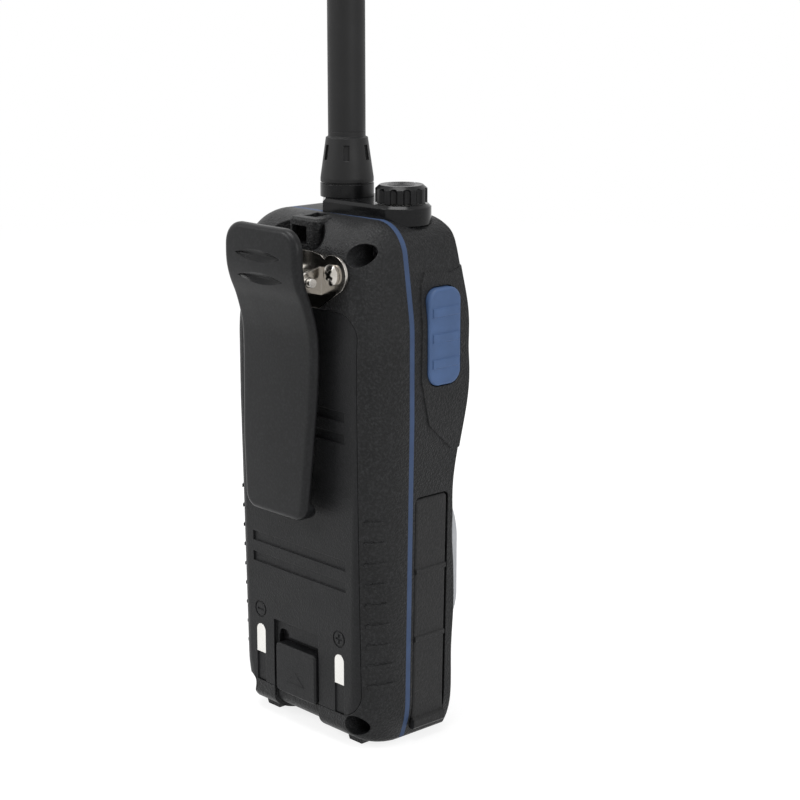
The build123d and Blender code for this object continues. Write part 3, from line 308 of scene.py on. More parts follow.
# ---------------------------------------------------------------- materials
# moulded() takes the roughness, the grain in cells per metre and the grain's depth
# the glint factor brightens the specks painted as glints, and the edge factor lightens the edges, partly worn
# and partly a painted highlight
grained = moulded("grained_black_plastic", BLACK_GRAIN, 0.40, 2100.0, 0.230 * MM, painted_glint_brightness=4.2)
satin = moulded("satin_black_plastic", BLACK_SATIN, 0.42, 2900.0, 0.080 * MM, variation=0.18, painted_glint_brightness=2.6)
clip_satin = moulded("clip_black_plastic", BLACK_SATIN, 0.36, 3200.0, 0.010 * MM, variation=0.15, edge=1.0,
                     edge_radius=SMALL_EDGE, painted_glint_brightness=2.8)
# inside the clip's grooves: darker colour and weaker reflection than the clip, painted shade
clip_groove_shade = moulded("clip_groove_shaded_plastic", BLACK_GLOSS, 0.22, 3200.0, 0.003 * MM, variation=0.1, edge=1.0,
                      edge_radius=SMALL_EDGE, specular=0.13)
gloss_black = moulded("gloss_black_plastic", BLACK_GLOSS, 0.16, 4000.0, 0.002 * MM, variation=0.1)
knob_black = moulded("knob_black_plastic", BLACK_GLOSS, 0.30, 3600.0, 0.008 * MM, variation=0.1)
cover_rubber = moulded("cover_rubber", BLACK_RUBBER, 0.46, 2300.0, 0.120 * MM, variation=0.15, edge=1.5,
                       edge_radius=SOFT_EDGE, specular=0.26, painted_glint_brightness=3.2)
silver = moulded("silver_paint", SILVER_PAINT, 0.36, 3000.0, 0.010 * MM, variation=0.04, edge=1.1,
                 painted_glint_brightness=1.1)
wrap = moulded("cell_wrap", CELL_WRAP, 0.35, 1500.0, 0.010 * MM)
part_black = moulded("component_black", BLACK_COMPONENT, 0.45, 2500.0, 0.020 * MM)
antenna_rubber = rubber("antenna_rubber", BLACK_RUBBER, 0.50)
key_rubber = rubber("key_rubber", KEY_RUBBER, 0.6)
seal_blue = rubber("blue_seal_rubber", BLUE_SEAL, 0.55, edge=1.15)
talk_blue = rubber("blue_talk_key", BLUE_KEY, 0.50, edge=1.3)
nickel = metal("nickel_plate", NICKEL, 0.17)
# the screws' cross recesses: darker nickel as painted shade
painted_recess_shade = metal("painted_recess_shade", NICKEL_PAINTED_SHADE, 0.42)
contact = metal("plated_contact", CONTACT, 0.24, brush=(1.0, 1.0, 0.12), tarnish=0.05)
bright_steel = metal("bright_steel", BRIGHT_STEEL, 0.22)
steel = metal("blackened_steel", BLACKENED_STEEL, 0.34)
tin = metal("tin_plate", TIN, 0.30, tarnish=0.16)
brass = metal("brass", BRASS, 0.27, tarnish=0.14)
window_clear = clear_window("smoked_window")
board_green = circuit("circuit_board")
print_white = print_ink("white_print", WHITE_PRINT)
lcd_ink = print_ink("display_segment", LCD_INK)
lcd_panel = lcd_glass("display_panel", LCD_PANEL)
gauze = woven("speaker_gauze", BLACK_GAUZE)

NODE_MATERIALS = {
    "front_shell": grained, "rear_shell": grained, "case_seal": seal_blue, "case_screws": steel,
    "top_collar": gloss_black, "antenna_connector": brass, "antenna_base": knob_black,
    "antenna_boot": antenna_rubber, "antenna_whip": antenna_rubber, "volume_knob": knob_black,
    "volume_shaft": tin, "volume_control": part_black, "battery_case": satin, "battery_lid": satin,
    "battery_seal": key_rubber, "battery_cells": wrap, "battery_terminals": contact,
    "charge_contacts": contact, "terminal_springs": contact, "battery_latch": satin,
    "clip_bracket": nickel, "bracket_screws": nickel, "clip_pin": bright_steel, "belt_clip": clip_satin,
    "clip_spring": tin, "talk_key": talk_blue, "talk_switch": part_black, "jack_cover": cover_rubber,
    "jack_large": part_black, "jack_small": part_black, "display_window": window_clear,
    "display_module": part_black, "speaker_bezel": silver, "speaker_grille": grained,
    "speaker": part_black, "microphone": part_black, "keypad_mat": key_rubber,
    "front_board": board_green, "main_board": board_green, "board_spacers": brass,
    "board_screws": steel, "rf_shield": tin,
}
NODE_MATERIALS.update({f"key_{number}": key_rubber for number in range(1, 9)})

for node, material in NODE_MATERIALS.items():
    NODES[node].data.materials.clear()
    NODES[node].data.materials.append(material)


# ---------------------------------------------------------------- objects and meshes
TURNED_STEPS = 48


def new_object(name, data):
    """An object in the scene."""
    thing = bpy.data.objects.new(name, data)
    bpy.context.scene.collection.objects.link(thing)
    return thing


def add_piece(name, mesh, body, material):
    """Put a mesh in the scene as a piece that rides on a body. A mesh that has its materials keeps them."""
    piece = new_object(name, mesh)
    if not any(mesh.materials):
        mesh.materials.clear()
        mesh.materials.append(material)
    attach(piece, body)
    return piece


def smooth_faces(mesh, sharp_angle):
    """Smooth shading with edges sharper than an angle, in degrees, left sharp."""
    mesh.shade_smooth()
    mesh.set_sharp_from_angle(angle=math.radians(sharp_angle))


def finish_mesh(bm, name, sharp_angle=None):
    """The mesh of a bmesh, with its faces turned outwards; flat-shaded without an angle."""
    mesh = bpy.data.meshes.new(name)
    bmesh.ops.recalc_face_normals(bm, faces=bm.faces)
    bm.to_mesh(mesh)
    bm.free()
    if sharp_angle is not None:
        smooth_faces(mesh, sharp_angle)
    return mesh


def evaluated_mesh(thing):
    """The mesh that an object's modifiers or curve settings make."""
    bpy.context.view_layer.update()
    return bpy.data.meshes.new_from_object(thing.evaluated_get(bpy.context.evaluated_depsgraph_get()))


def cut_mesh(mesh, cutters, name, sharp_angle):
    """A copy of a mesh with closed cutter meshes taken out of it. A cut face has its cutter's material."""
    body = new_object("cut_body", mesh)
    tools = [new_object("cut_tool", cutter) for cutter in cutters]
    for tool in tools:
        step = body.modifiers.new("cut", "BOOLEAN")
        step.operation = "DIFFERENCE"
        step.solver = "EXACT"
        step.material_mode = "TRANSFER"
        step.object = tool
    made = evaluated_mesh(body)
    made.name = name
    for thing in (body, *tools):
        bpy.data.objects.remove(thing)
    smooth_faces(made, sharp_angle)
    return made


def bead(name, points, radius, cyclic=True):
    """Round bead along points, as a mesh."""
    curve = bpy.data.curves.new(name, "CURVE")
    curve.dimensions = "3D"
    curve.bevel_depth = radius
    curve.bevel_resolution = 3
    curve.use_fill_caps = not cyclic
    line = curve.splines.new("POLY")
    line.points.add(len(points) - 1)
    for target, point in zip(line.points, points):
        target.co = (*point, 1.0)
    line.use_cyclic_u = cyclic
    holder = new_object(name, curve)
    mesh = evaluated_mesh(holder)
    bpy.data.objects.remove(holder)
    mesh.shade_smooth()
    return mesh


def join_rings(bm, first, second):
    """Faces between two closed rings of vertices. A ring may be one vertex, repeated."""
    for k in range(len(first)):
        m = (k + 1) % len(first)
        corners = (first[k], first[m], second[m], second[k])
        bm.faces.new([corner for index, corner in enumerate(corners) if corner not in corners[:index]])


def add_prism(bm, first, second):
    """Closed prism between two equal outlines of vertices."""
    bm.faces.new(first)
    bm.faces.new(second[::-1])
    for k in range(len(first)):
        m = (k + 1) % len(first)
        bm.faces.new((first[k], second[k], second[m], first[m]))


def add_grid(bm, rows):
    """Faces over a grid of vertices."""
    for low, high in zip(rows, rows[1:]):
        for j in range(len(low) - 1):
            bm.faces.new((low[j], high[j], high[j + 1], low[j + 1]))


def grid_solid(low, high):
    """Closed solid between two equal grids of points, low[i][j] and high[i][j]."""
    bm = bmesh.new()
    sheets = [[[bm.verts.new(point) for point in row] for row in grid] for grid in (low, high)]
    rows, columns = len(low), len(low[0])
    for sheet in sheets:
        add_grid(bm, sheet)
    rim = [(i, 0) for i in range(rows)] + [(rows - 1, j) for j in range(1, columns)]
    rim += [(i, columns - 1) for i in range(rows - 2, -1, -1)] + [(0, j) for j in range(columns - 2, 0, -1)]
    join_rings(bm, *([sheet[i][j] for i, j in rim] for sheet in sheets))
    return bm


def revolved(profile, centre):
    """Closed form turned about +Y through centre; profile is (radius, y) from axis to axis, in mm."""
    bm = bmesh.new()
    rings = []
    for radius, y in profile:
        if radius == 0:
            rings.append([bm.verts.new((centre[0], y * MM, centre[1]))] * TURNED_STEPS)
            continue
        turns = [math.tau * k / TURNED_STEPS for k in range(TURNED_STEPS)]
        rings.append([bm.verts.new((centre[0] + radius * MM * math.cos(turn), y * MM,
                                    centre[1] + radius * MM * math.sin(turn))) for turn in turns])
    for first, second in zip(rings, rings[1:]):
        join_rings(bm, first, second)
    return bm


def flat_piece(outlines, y, thickness, name):
    """Thin raised shapes on a plane of constant y; outlines in mm as (x, z)."""
    bm = bmesh.new()
    for outline in outlines:
        add_prism(bm, *([bm.verts.new((x * MM, depth * MM, z * MM)) for x, z in outline]
                        for depth in (y - thickness, y)))
    return finish_mesh(bm, name)


def arc(centre_x, centre_y, radius, start, sweep, steps):
    """Points along an arc; start and sweep in degrees."""
    angles = [math.radians(start + sweep * k / steps) for k in range(steps + 1)]
    return [(centre_x + radius * math.cos(angle), centre_y + radius * math.sin(angle)) for angle in angles]


def rounded_outline(x0, z0, x1, z1, radius, steps=6):
    """Rectangle with round corners of so many steps each."""
    points = []
    for centre_x, centre_z, start in ((x1 - radius, z1 - radius, 0), (x0 + radius, z1 - radius, 90),
                                      (x0 + radius, z0 + radius, 180), (x1 - radius, z0 + radius, 270)):
        points += arc(centre_x, centre_z, radius, start, 90, steps)
    return points


def surface_of(node):
    """Ray target of a CAD node's faces."""
    mesh = NODES[node].data
    corners = [vertex.co.copy() for vertex in mesh.vertices]
    return BVHTree.FromPolygons(corners, [tuple(face.vertices) for face in mesh.polygons])


# ---------------------------------------------------------------- belt clip: rolled edges, grooves, lugs
CLIP_LOW, CLIP_HIGH = 57.2, 128.45
# height, half width and outer face's y, from the tip up to the pad, with the numbers of the last two columns
CLIP_STATIONS = (
    (56.4, 11.1, 25.00), (60.4, 11.4, 24.90), (67.4, 12.0, 24.70), (75.4, 12.7, 24.40),
    (84.0, 13.2, 23.85), (92.4, 13.6, 23.45), (98.4, 13.7, 23.35), (103.8, 13.7, 23.70),
    (110.0, 13.6, 25.40), (114.8, 13.5, 27.40), (119.0, 13.5, 28.30), (125.5, 13.5, 28.30),
    (129.9, 13.5, 28.30),
)
HALF_WIDTH_COLUMN, OUTER_Y_COLUMN = 1, 2
CLIP_CENTRE_X = 1.0
CLIP_TOP_CORNER, CLIP_TIP_CORNER = 5.4, 4.0
CLIP_OUTER_ROLL, CLIP_INNER_ROLL = 1.5, 0.4
CLIP_CROWN, CLIP_CROWN_WIDTH = 0.25, 13.5
CLIP_THICKNESS = 2.0
TIP_EXTRA, TIP_FROM_Z, TIP_BLEND = 2.5, 63.5, 5.0
PAD_EXTRA, PAD_FROM_Z, PAD_BLEND = 0.5, 108.0, 10.0
CLIP_ACROSS, CLIP_ALONG = 40, 120
TOP_CORNER_STEPS, TIP_CORNER_STEPS = 12, 8
OUTER_ROLL_STEPS, INNER_ROLL_STEPS = 8, 3
CLIP_SHARP_ANGLE, LUG_SHARP_ANGLE = 17, 32
PIN_Y, PIN_Z, PIN_BORE = 22.5, 115.7, 1.15
BORE_LENGTH, BORE_STEPS = 24, 40
LUG_INNER_X, LUG_OUTER_X, LUG_RADIUS = 6.6, 9.5, 2.5
LUG_ARC_START, LUG_ARC_SWEEP, LUG_ARC_STEPS = 130, 175, 16
LUG_ROOT_X, LUG_ROOT_INSET = 8, 0.8
LUG_ROOT_HEIGHTS = (112.6, 114.2, 115.8, 117.4, 118.8)
GROOVE_HEIGHTS = (121.25, 115.75)
GROOVE_HALF_HEIGHT = 1.45
GROOVE_CENTRE_X, GROOVE_HALF_WIDTH, GROOVE_DEPTH = 1.4, 8.6, 0.85
GROOVE_LENGTH_STEPS, GROOVE_HEIGHT_STEPS = 44, 14
SCOOP_LENGTH_POWER, SCOOP_HEIGHT_POWER = 0.6, 1.2
CUTTER_MARGIN, CUTTER_HEIGHT = 0.02, 1.2


def along_stations(z, column):
    """Smooth value between the clip's stations."""
    rows, last = CLIP_STATIONS, len(CLIP_STATIONS) - 1
    index = max(k for k in range(last) if rows[k][0] <= z or k == 0)
    start, end = rows[index], rows[index + 1]
    before, after = rows[max(index - 1, 0)], rows[min(index + 2, last)]
    step = end[0] - start[0]
    t = min(max((z - start[0]) / step, 0.0), 1.0)
    slope_start = (end[column] - before[column]) / (end[0] - before[0]) * step
    slope_end = (after[column] - start[column]) / (after[0] - start[0]) * step
    return ((2 * t ** 3 - 3 * t ** 2 + 1) * start[column] + (t ** 3 - 2 * t ** 2 + t) * slope_start
            + (3 * t ** 2 - 2 * t ** 3) * end[column] + (t ** 3 - t ** 2) * slope_end)


def smooth_step(value):
    """0 to 1 with a soft start and end."""
    t = min(max(value, 0.0), 1.0)
    return t * t * (3 - 2 * t)


def clip_thickness(z):
    """Thicker at the turned-in tip and a little thicker at the pad."""
    return (CLIP_THICKNESS + TIP_EXTRA * smooth_step((TIP_FROM_Z - z) / TIP_BLEND)
            + PAD_EXTRA * smooth_step((z - PAD_FROM_Z) / PAD_BLEND))


def outer_depth(x, z):
    """The outer face's y, slightly crowned from side to side."""
    return along_stations(z, OUTER_Y_COLUMN) - CLIP_CROWN * ((x - CLIP_CENTRE_X) / CLIP_CROWN_WIDTH) ** 2


def clip_loop(inset):
    """The clip's right side, and its outline: right side upwards, top, left side downwards, bottom."""
    tip_z, top_z = CLIP_LOW + CLIP_TIP_CORNER, CLIP_HIGH - CLIP_TOP_CORNER
    tip_x = along_stations(tip_z, HALF_WIDTH_COLUMN) - CLIP_TIP_CORNER
    top_x = along_stations(top_z, HALF_WIDTH_COLUMN) - CLIP_TOP_CORNER
    heights = [tip_z + (top_z - tip_z) * k / CLIP_ALONG for k in range(1, CLIP_ALONG)]
    right = arc(tip_x, tip_z, CLIP_TIP_CORNER - inset, -90, 90, TIP_CORNER_STEPS)
    right += [(along_stations(z, HALF_WIDTH_COLUMN) - inset, z) for z in heights]
    right += arc(top_x, top_z, CLIP_TOP_CORNER - inset, 0, 90, TOP_CORNER_STEPS)
    left = [(-x, z) for x, z in right[::-1]]
    spread = [1 - 2 * k / CLIP_ACROSS for k in range(1, CLIP_ACROSS)]
    top = [(right[-1][0] * u, right[-1][1]) for u in spread]
    bottom = [(-right[0][0] * u, right[0][1]) for u in spread]
    return right, right + top + left + bottom


def clip_skin(bm, rolls, depth):
    """One face of the clip: rings over its rolled edge and a grid inside. Gives the outermost ring back."""
    loops = []
    for inset, drop in rolls:
        right, outline = clip_loop(inset)
        loops.append([bm.verts.new(((x + CLIP_CENTRE_X) * MM, depth(x + CLIP_CENTRE_X, z, drop) * MM, z * MM))
                      for x, z in outline])
    for first, second in zip(loops, loops[1:]):
        join_rings(bm, first, second)
    # the grid fills the last ring, whose right side and drop are still at hand
    inner, count = loops[-1], len(right)
    rows = []
    for t, (x, z) in enumerate(right):
        left_index = count + (CLIP_ACROSS - 1) + (count - 1 - t)
        if t == 0:
            middle = inner[2 * count + CLIP_ACROSS - 1:][::-1]
        elif t == count - 1:
            middle = inner[count:count + CLIP_ACROSS - 1]
        else:
            places = [x * (1 - 2 * k / CLIP_ACROSS) + CLIP_CENTRE_X for k in range(1, CLIP_ACROSS)]
            middle = [bm.verts.new((px * MM, depth(px, z, drop) * MM, z * MM)) for px in places]
        rows.append([inner[t]] + middle + [inner[left_index]])
    for low, high in zip(rows, rows[1:]):
        for k in range(CLIP_ACROSS):
            bm.faces.new((low[k], low[k + 1], high[k + 1], high[k]))
    return loops[0]


def roll(radius, steps):
    """(inset, drop) pairs over a quarter-round edge, from its outside in."""
    angles = [math.pi / 2 * k / steps for k in range(steps + 1)]
    return [(radius * (1 - math.cos(angle)), radius * (1 - math.sin(angle))) for angle in angles]


def clip_plate():
    """The whole clip without its grooves and lugs."""
    bm = bmesh.new()
    outer = clip_skin(bm, roll(CLIP_OUTER_ROLL, OUTER_ROLL_STEPS),
                      lambda x, z, drop: outer_depth(x, z) - drop)
    inner = clip_skin(bm, roll(CLIP_INNER_ROLL, INNER_ROLL_STEPS),
                      lambda x, z, drop: outer_depth(x, z) - clip_thickness(z) + drop)
    join_rings(bm, outer, inner)
    plate = finish_mesh(bm, "clip_plate")
    plate.materials.append(clip_satin)
    return plate


def groove_cutter(height):
    """Lens-shaped scoop that follows the clip's outer face, deepest along its middle."""
    low, high = [], []
    for i in range(GROOVE_LENGTH_STEPS + 1):
        u = -1 + 2 * i / GROOVE_LENGTH_STEPS
        half = GROOVE_HALF_HEIGHT * (1 - u * u) + CUTTER_MARGIN
        x = GROOVE_CENTRE_X + GROOVE_HALF_WIDTH * u
        low.append([])
        high.append([])
        for j in range(GROOVE_HEIGHT_STEPS + 1):
            v = -1 + 2 * j / GROOVE_HEIGHT_STEPS
            z = height + half * v
            scoop = GROOVE_DEPTH * (1 - u * u) ** SCOOP_LENGTH_POWER * (1 - abs(v) ** SCOOP_HEIGHT_POWER)
            low[-1].append((x * MM, (outer_depth(x, z) - scoop + CUTTER_MARGIN) * MM, z * MM))
            high[-1].append((x * MM, (outer_depth(x, z) + CUTTER_HEIGHT) * MM, z * MM))
    cutter = finish_mesh(grid_solid(low, high), "groove_cutter")
    # the scooped faces take the darker groove material, painted shade
    cutter.materials.append(clip_groove_shade)
    return cutter


def clip_lugs():
    """Two lugs with pin bores that hang the clip on its pin."""
    bm = bmesh.new()
    outline = arc(PIN_Y, PIN_Z, LUG_RADIUS, LUG_ARC_START, LUG_ARC_SWEEP, LUG_ARC_STEPS)
    outline += [(outer_depth(LUG_ROOT_X, z) - LUG_ROOT_INSET, z) for z in LUG_ROOT_HEIGHTS]
    for side in (-1, 1):
        add_prism(bm, *([bm.verts.new((side * x * MM, y * MM, z * MM)) for y, z in outline]
                        for x in (LUG_INNER_X, LUG_OUTER_X)))
    lugs = finish_mesh(bm, "clip_lugs")
    bore = bmesh.new()
    place = Matrix.Translation((0, PIN_Y * MM, PIN_Z * MM)) @ Matrix.Rotation(math.pi / 2, 4, "Y")
    bmesh.ops.create_cone(bore, cap_ends=True, segments=BORE_STEPS, radius1=PIN_BORE * MM,
                          radius2=PIN_BORE * MM, depth=BORE_LENGTH * MM, matrix=place)
    return cut_mesh(lugs, [finish_mesh(bore, "pin_bore")], "clip_lugs_bored", LUG_SHARP_ANGLE)


grooves = [groove_cutter(height) for height in GROOVE_HEIGHTS]
clip_mesh = cut_mesh(clip_plate(), grooves, "belt_clip_dressed", CLIP_SHARP_ANGLE)
belt_clip = add_piece("belt_clip_dressed", clip_mesh, "clip", clip_satin)
clip_lug_pair = add_piece("belt_clip_lugs", clip_lugs(), "clip", clip_satin)
for piece in (belt_clip, clip_lug_pair):
    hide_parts("belt_clip")

# ---------------------------------------------------------------- domed cross-recess bracket screws
SCREW_X, SCREW_Z = 14.8, 117.6
HEAD_SEAT_Y, HEAD_CROWN_Y, SCREW_END_Y = 18.8, 20.3, 10.5
HEAD_RADIUS, HEAD_DOME, HEAD_CHAMFER = 2.5, 0.75, 0.15
DOME_STEPS = 8
SHANK_RADIUS, SHANK_TIP_TAPER = 1.45, 0.5
THREAD_TURNS, THREAD_PITCH, THREAD_DEPTH = 14, 0.5, 0.22
CROSS_TURN = math.radians(32)
# y from the crown, half length and half width of the cross, at its floor and above the head
CROSS_FLOOR, CROSS_MOUTH = (-1.35, 0.80, 0.26), (0.4, 1.85, 0.50)
SCREW_SHARP_ANGLE = 28


def bracket_screw(name, side):
    """Screw whose domed head with a cross recess faces +Y; side is 1 for +X and -1 for -X."""
    profile = [(HEAD_RADIUS * t / DOME_STEPS, HEAD_CROWN_Y - HEAD_DOME * (t / DOME_STEPS) ** 2)
               for t in range(DOME_STEPS + 1)]
    profile += [(HEAD_RADIUS, HEAD_SEAT_Y + HEAD_CHAMFER), (HEAD_RADIUS - HEAD_CHAMFER, HEAD_SEAT_Y),
                (SHANK_RADIUS, HEAD_SEAT_Y)]
    for turn in range(1, THREAD_TURNS + 1):
        y = HEAD_SEAT_Y - THREAD_PITCH * turn
        profile += [(SHANK_RADIUS, y), (SHANK_RADIUS - THREAD_DEPTH, y - THREAD_PITCH / 2)]
    profile += [(SHANK_RADIUS - SHANK_TIP_TAPER, SCREW_END_Y), (0, SCREW_END_Y)]
    centre_x, centre_z = side * SCREW_X * MM, SCREW_Z * MM
    mesh = finish_mesh(revolved(profile, (centre_x, centre_z)), "bracket_screw_blank")
    mesh.materials.append(nickel)
    centre = Vector((centre_x, 0, centre_z))
    cross = []
    for angle in (CROSS_TURN, CROSS_TURN + math.pi / 2):
        along = Vector((math.cos(angle), 0, math.sin(angle)))
        across = Vector((-math.sin(angle), 0, math.cos(angle)))
        corners = [[[centre + along * (a * length * MM) + across * (b * width * MM)
                     + Vector((0, (HEAD_CROWN_Y + y) * MM, 0)) for b in (-1, 1)] for a in (-1, 1)]
                   for y, length, width in (CROSS_FLOOR, CROSS_MOUTH)]
        cross.append(finish_mesh(grid_solid(*corners), "cross_cutter"))
        # the cross recess's faces take the darker nickel, painted shade
        cross[-1].materials.append(painted_recess_shade)
    return cut_mesh(mesh, cross, name, SCREW_SHARP_ANGLE)


screws = [add_piece(name, bracket_screw(name, side), "housing", nickel)
          for name, side in (("bracket_screw_right", 1), ("bracket_screw_left", -1))]
for screw in screws:
    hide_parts("bracket_screws")

# ---------------------------------------------------------------- raised arrow mark on the battery latch
LATCH_FACE_Y = 18.8
LATCH_ARROW = ((-2.5, 11.4), (4.3, 11.4), (0.9, 14.4))
ARROW_RADIUS, ARROW_SINK = 0.2, 0.12

arrow_points = [(x * MM, (LATCH_FACE_Y - ARROW_SINK) * MM, z * MM) for x, z in LATCH_ARROW]
arrow = bead("latch_arrow", arrow_points, ARROW_RADIUS * MM)
add_piece("latch_arrow", arrow, "latch", satin)

# ---------------------------------------------------------------- knob top: turned rings and a pointer
KNOB_CENTRE = Vector((-14.8 * MM, -3.0 * MM, 137.0 * MM))
FIRST_RING, RING_GAP, RING_COUNT = 0.4, 0.22, 16
RING_STEPS, RING_SHARP_ANGLE = 64, 60
RING_RISE, RING_SINK = 0.10, 0.05
# the pointer's ends lie towards -Y from the knob's centre
POINTER_INNER, POINTER_OUTER, POINTER_RADIUS = 4.1, 4.9, 0.16


def knob_rings():
    """Turned rings on the knob's top, closed underneath inside the knob."""
    bm = bmesh.new()
    rings = []
    for index in range(RING_COUNT):
        radius = FIRST_RING + RING_GAP * index
        lift = -RING_SINK if index in (0, RING_COUNT - 1) else RING_RISE * (index % 2)
        rings.append([bm.verts.new((KNOB_CENTRE.x + radius * MM * math.cos(math.tau * k / RING_STEPS),
                                    KNOB_CENTRE.y + radius * MM * math.sin(math.tau * k / RING_STEPS),
                                    KNOB_CENTRE.z + lift * MM)) for k in range(RING_STEPS)])
    for first, second in zip(rings, rings[1:] + rings[:1]):
        join_rings(bm, first, second)
    return finish_mesh(bm, "knob_rings", RING_SHARP_ANGLE)


add_piece("knob_rings", knob_rings(), "knob", knob_black)
pointer_ends = [KNOB_CENTRE + Vector((0, -reach * MM, 0)) for reach in (POINTER_INNER, POINTER_OUTER)]
add_piece("knob_pointer", bead("knob_pointer", pointer_ends, POINTER_RADIUS * MM, cyclic=False), "knob",
          print_white)

# ---------------------------------------------------------------- display: panel, figures and small signs
LCD_FRONT_Y, LCD_CENTRE_Z = -12.8, 96.3
LCD_HALF_WIDTH, LCD_HALF_HEIGHT, LCD_CORNER, LCD_THICKNESS = 15.3, 11.8, 0.7, 0.12
SEGMENT_LIFT, SEGMENT_THICKNESS, SEGMENT_GAP = 0.13, 0.05, 0.12
SEGMENTS = {"1": "bc", "2": "abged", "5": "afgcd", "6": "afgcde"}
# low end, width, height and stroke of a figure
LARGE_FIGURE = (88.6, 5.6, 11.0, 1.25)
SMALL_FIGURE = (88.6, 2.4, 4.6, 0.55)
# figure, left end and sizes
DISPLAY_FIGURES = (("1", -4.2, LARGE_FIGURE), ("6", 4.2, LARGE_FIGURE),
                   ("2", -13.2, SMALL_FIGURE), ("5", -9.4, SMALL_FIGURE))
BAR_LEFT, BAR_RIGHT, BAR_LOW, BAR_HIGH = -13.4, -12.6, 103.0, 104.0
SIGNAL_BARS, BAR_PITCH, BAR_GROWTH, BAR_CORNER = 5, 1.3, 0.55, 0.1
# the battery sign's frame, its cap and its two cells, and the rule under the top row
DISPLAY_BOXES = (
    (8.0, 103.0, 13.2, 103.3), (8.0, 105.5, 13.2, 105.8), (8.0, 103.3, 8.3, 105.5),
    (12.9, 103.3, 13.2, 105.5), (13.2, 103.9, 13.7, 104.9), (8.7, 103.7, 9.9, 105.1),
    (10.2, 103.7, 11.4, 105.1), (-13.4, 101.6, 13.7, 101.75),
)


def segment(x0, z0, x1, z1, width):
    """Six-sided bar between two points, as on a seven-segment display."""
    along = Vector((x1 - x0, z1 - z0)).normalized()
    side = Vector((-along.y, along.x)) * width / 2
    tip = along * width / 2
    gap = along * SEGMENT_GAP * width
    start, end = Vector((x0, z0)) + gap, Vector((x1, z1)) - gap
    corners = (start, start + tip + side, end - tip + side, end, end - tip - side, start + tip - side)
    return [(corner.x, corner.y) for corner in corners]


def digit(figure, left, low, width, height, stroke):
    """Outlines of a seven-segment figure's bars."""
    middle, top, right = low + height / 2, low + height, left + width
    bars = {"a": (left, top, right, top), "b": (right, top, right, middle), "c": (right, middle, right, low),
            "d": (left, low, right, low), "e": (left, middle, left, low), "f": (left, top, left, middle),
            "g": (left, middle, right, middle)}
    return [segment(*bars[name], stroke) for name in SEGMENTS[figure]]


def display_shapes():
    """Outlines of all that the display shows."""
    shapes = [bar for figure, left, sizes in DISPLAY_FIGURES for bar in digit(figure, left, *sizes)]
    for k in range(SIGNAL_BARS):
        shift = BAR_PITCH * k
        shapes.append(rounded_outline(BAR_LEFT + shift, BAR_LOW, BAR_RIGHT + shift, BAR_HIGH + BAR_GROWTH * k,
                                      BAR_CORNER, steps=2))
    return shapes + [[(x0, z0), (x1, z0), (x1, z1), (x0, z1)] for x0, z0, x1, z1 in DISPLAY_BOXES]


panel_outline = rounded_outline(-LCD_HALF_WIDTH, LCD_CENTRE_Z - LCD_HALF_HEIGHT, LCD_HALF_WIDTH,
                                LCD_CENTRE_Z + LCD_HALF_HEIGHT, LCD_CORNER)
panel = flat_piece([panel_outline], LCD_FRONT_Y, LCD_THICKNESS, "display_panel")
add_piece("display_panel", panel, "housing", lcd_panel)
figures = flat_piece(display_shapes(), LCD_FRONT_Y - SEGMENT_LIFT, SEGMENT_THICKNESS, "display_segments")
add_piece("display_segments", figures, "housing", lcd_ink)

# ---------------------------------------------------------------- key signs, printed on the keys' faces
POWER_RADIUS, POWER_STROKE = 1.3, 0.36
POWER_START, POWER_SWEEP, POWER_STEPS = 120, 300, 24
POWER_BAR_LOW, POWER_BAR_HIGH = 0.3, 1.7
LAMP_RAYS, LAMP_RADIUS, LAMP_CIRCLE_STEPS = 8, 0.62, 20
RAY_INNER, RAY_OUTER, RAY_HALF_WIDTH = 1.0, 1.6, 0.16
KEY_FIGURE = (-1.2, 1.4, 2.4, 0.42)
SIGN_EDGE, SIGN_LIFT, SIGN_THICKNESS = 0.5, 0.03, 0.02
IN_FRONT_Y = -50.0


def power_sign():
    """An open ring with a bar in its gap."""
    outer, inner = (arc(0, 0, radius, POWER_START, POWER_SWEEP, POWER_STEPS)
                    for radius in (POWER_RADIUS, POWER_RADIUS - POWER_STROKE))
    ring = [[outer[k], outer[k + 1], inner[k + 1], inner[k]] for k in range(POWER_STEPS)]
    half, low, high = POWER_STROKE / 2, POWER_BAR_LOW, POWER_BAR_HIGH
    return ring + [[(-half, low), (half, low), (half, high), (-half, high)]]


def lamp_sign():
    """A disc with rays round it."""
    rays = []
    for k in range(LAMP_RAYS):
        c, s = math.cos(math.tau * k / LAMP_RAYS), math.sin(math.tau * k / LAMP_RAYS)
        rays.append([(c * r - s * w, s * r + c * w)
                     for r, w in ((RAY_INNER, -RAY_HALF_WIDTH), (RAY_OUTER, -RAY_HALF_WIDTH),
                                  (RAY_OUTER, RAY_HALF_WIDTH), (RAY_INNER, RAY_HALF_WIDTH))])
    turns = [math.tau * k / LAMP_CIRCLE_STEPS for k in range(LAMP_CIRCLE_STEPS)]
    return rays + [[(LAMP_RADIUS * math.cos(turn), LAMP_RADIUS * math.sin(turn)) for turn in turns]]


# outlines round the key's middle, in mm: arrows, power, two numbers and a lamp
KEY_SIGNS = {
    "key_1": [[(0.9, -1.2), (0.9, 1.2), (-1.2, 0)]],
    "key_2": [[(-1.3, 0.8), (0, -1.2), (1.3, 0.8)]],
    "key_3": [[(-1.3, -0.8), (1.3, -0.8), (0, 1.2)]],
    "key_4": [[(-0.9, 1.2), (-0.9, -1.2), (1.2, 0)]],
    "key_5": power_sign(),
    "key_6": digit("1", -2.1, *KEY_FIGURE) + digit("6", 0.5, *KEY_FIGURE),
    "key_7": digit("2", -0.7, *KEY_FIGURE),
    "key_8": lamp_sign(),
}


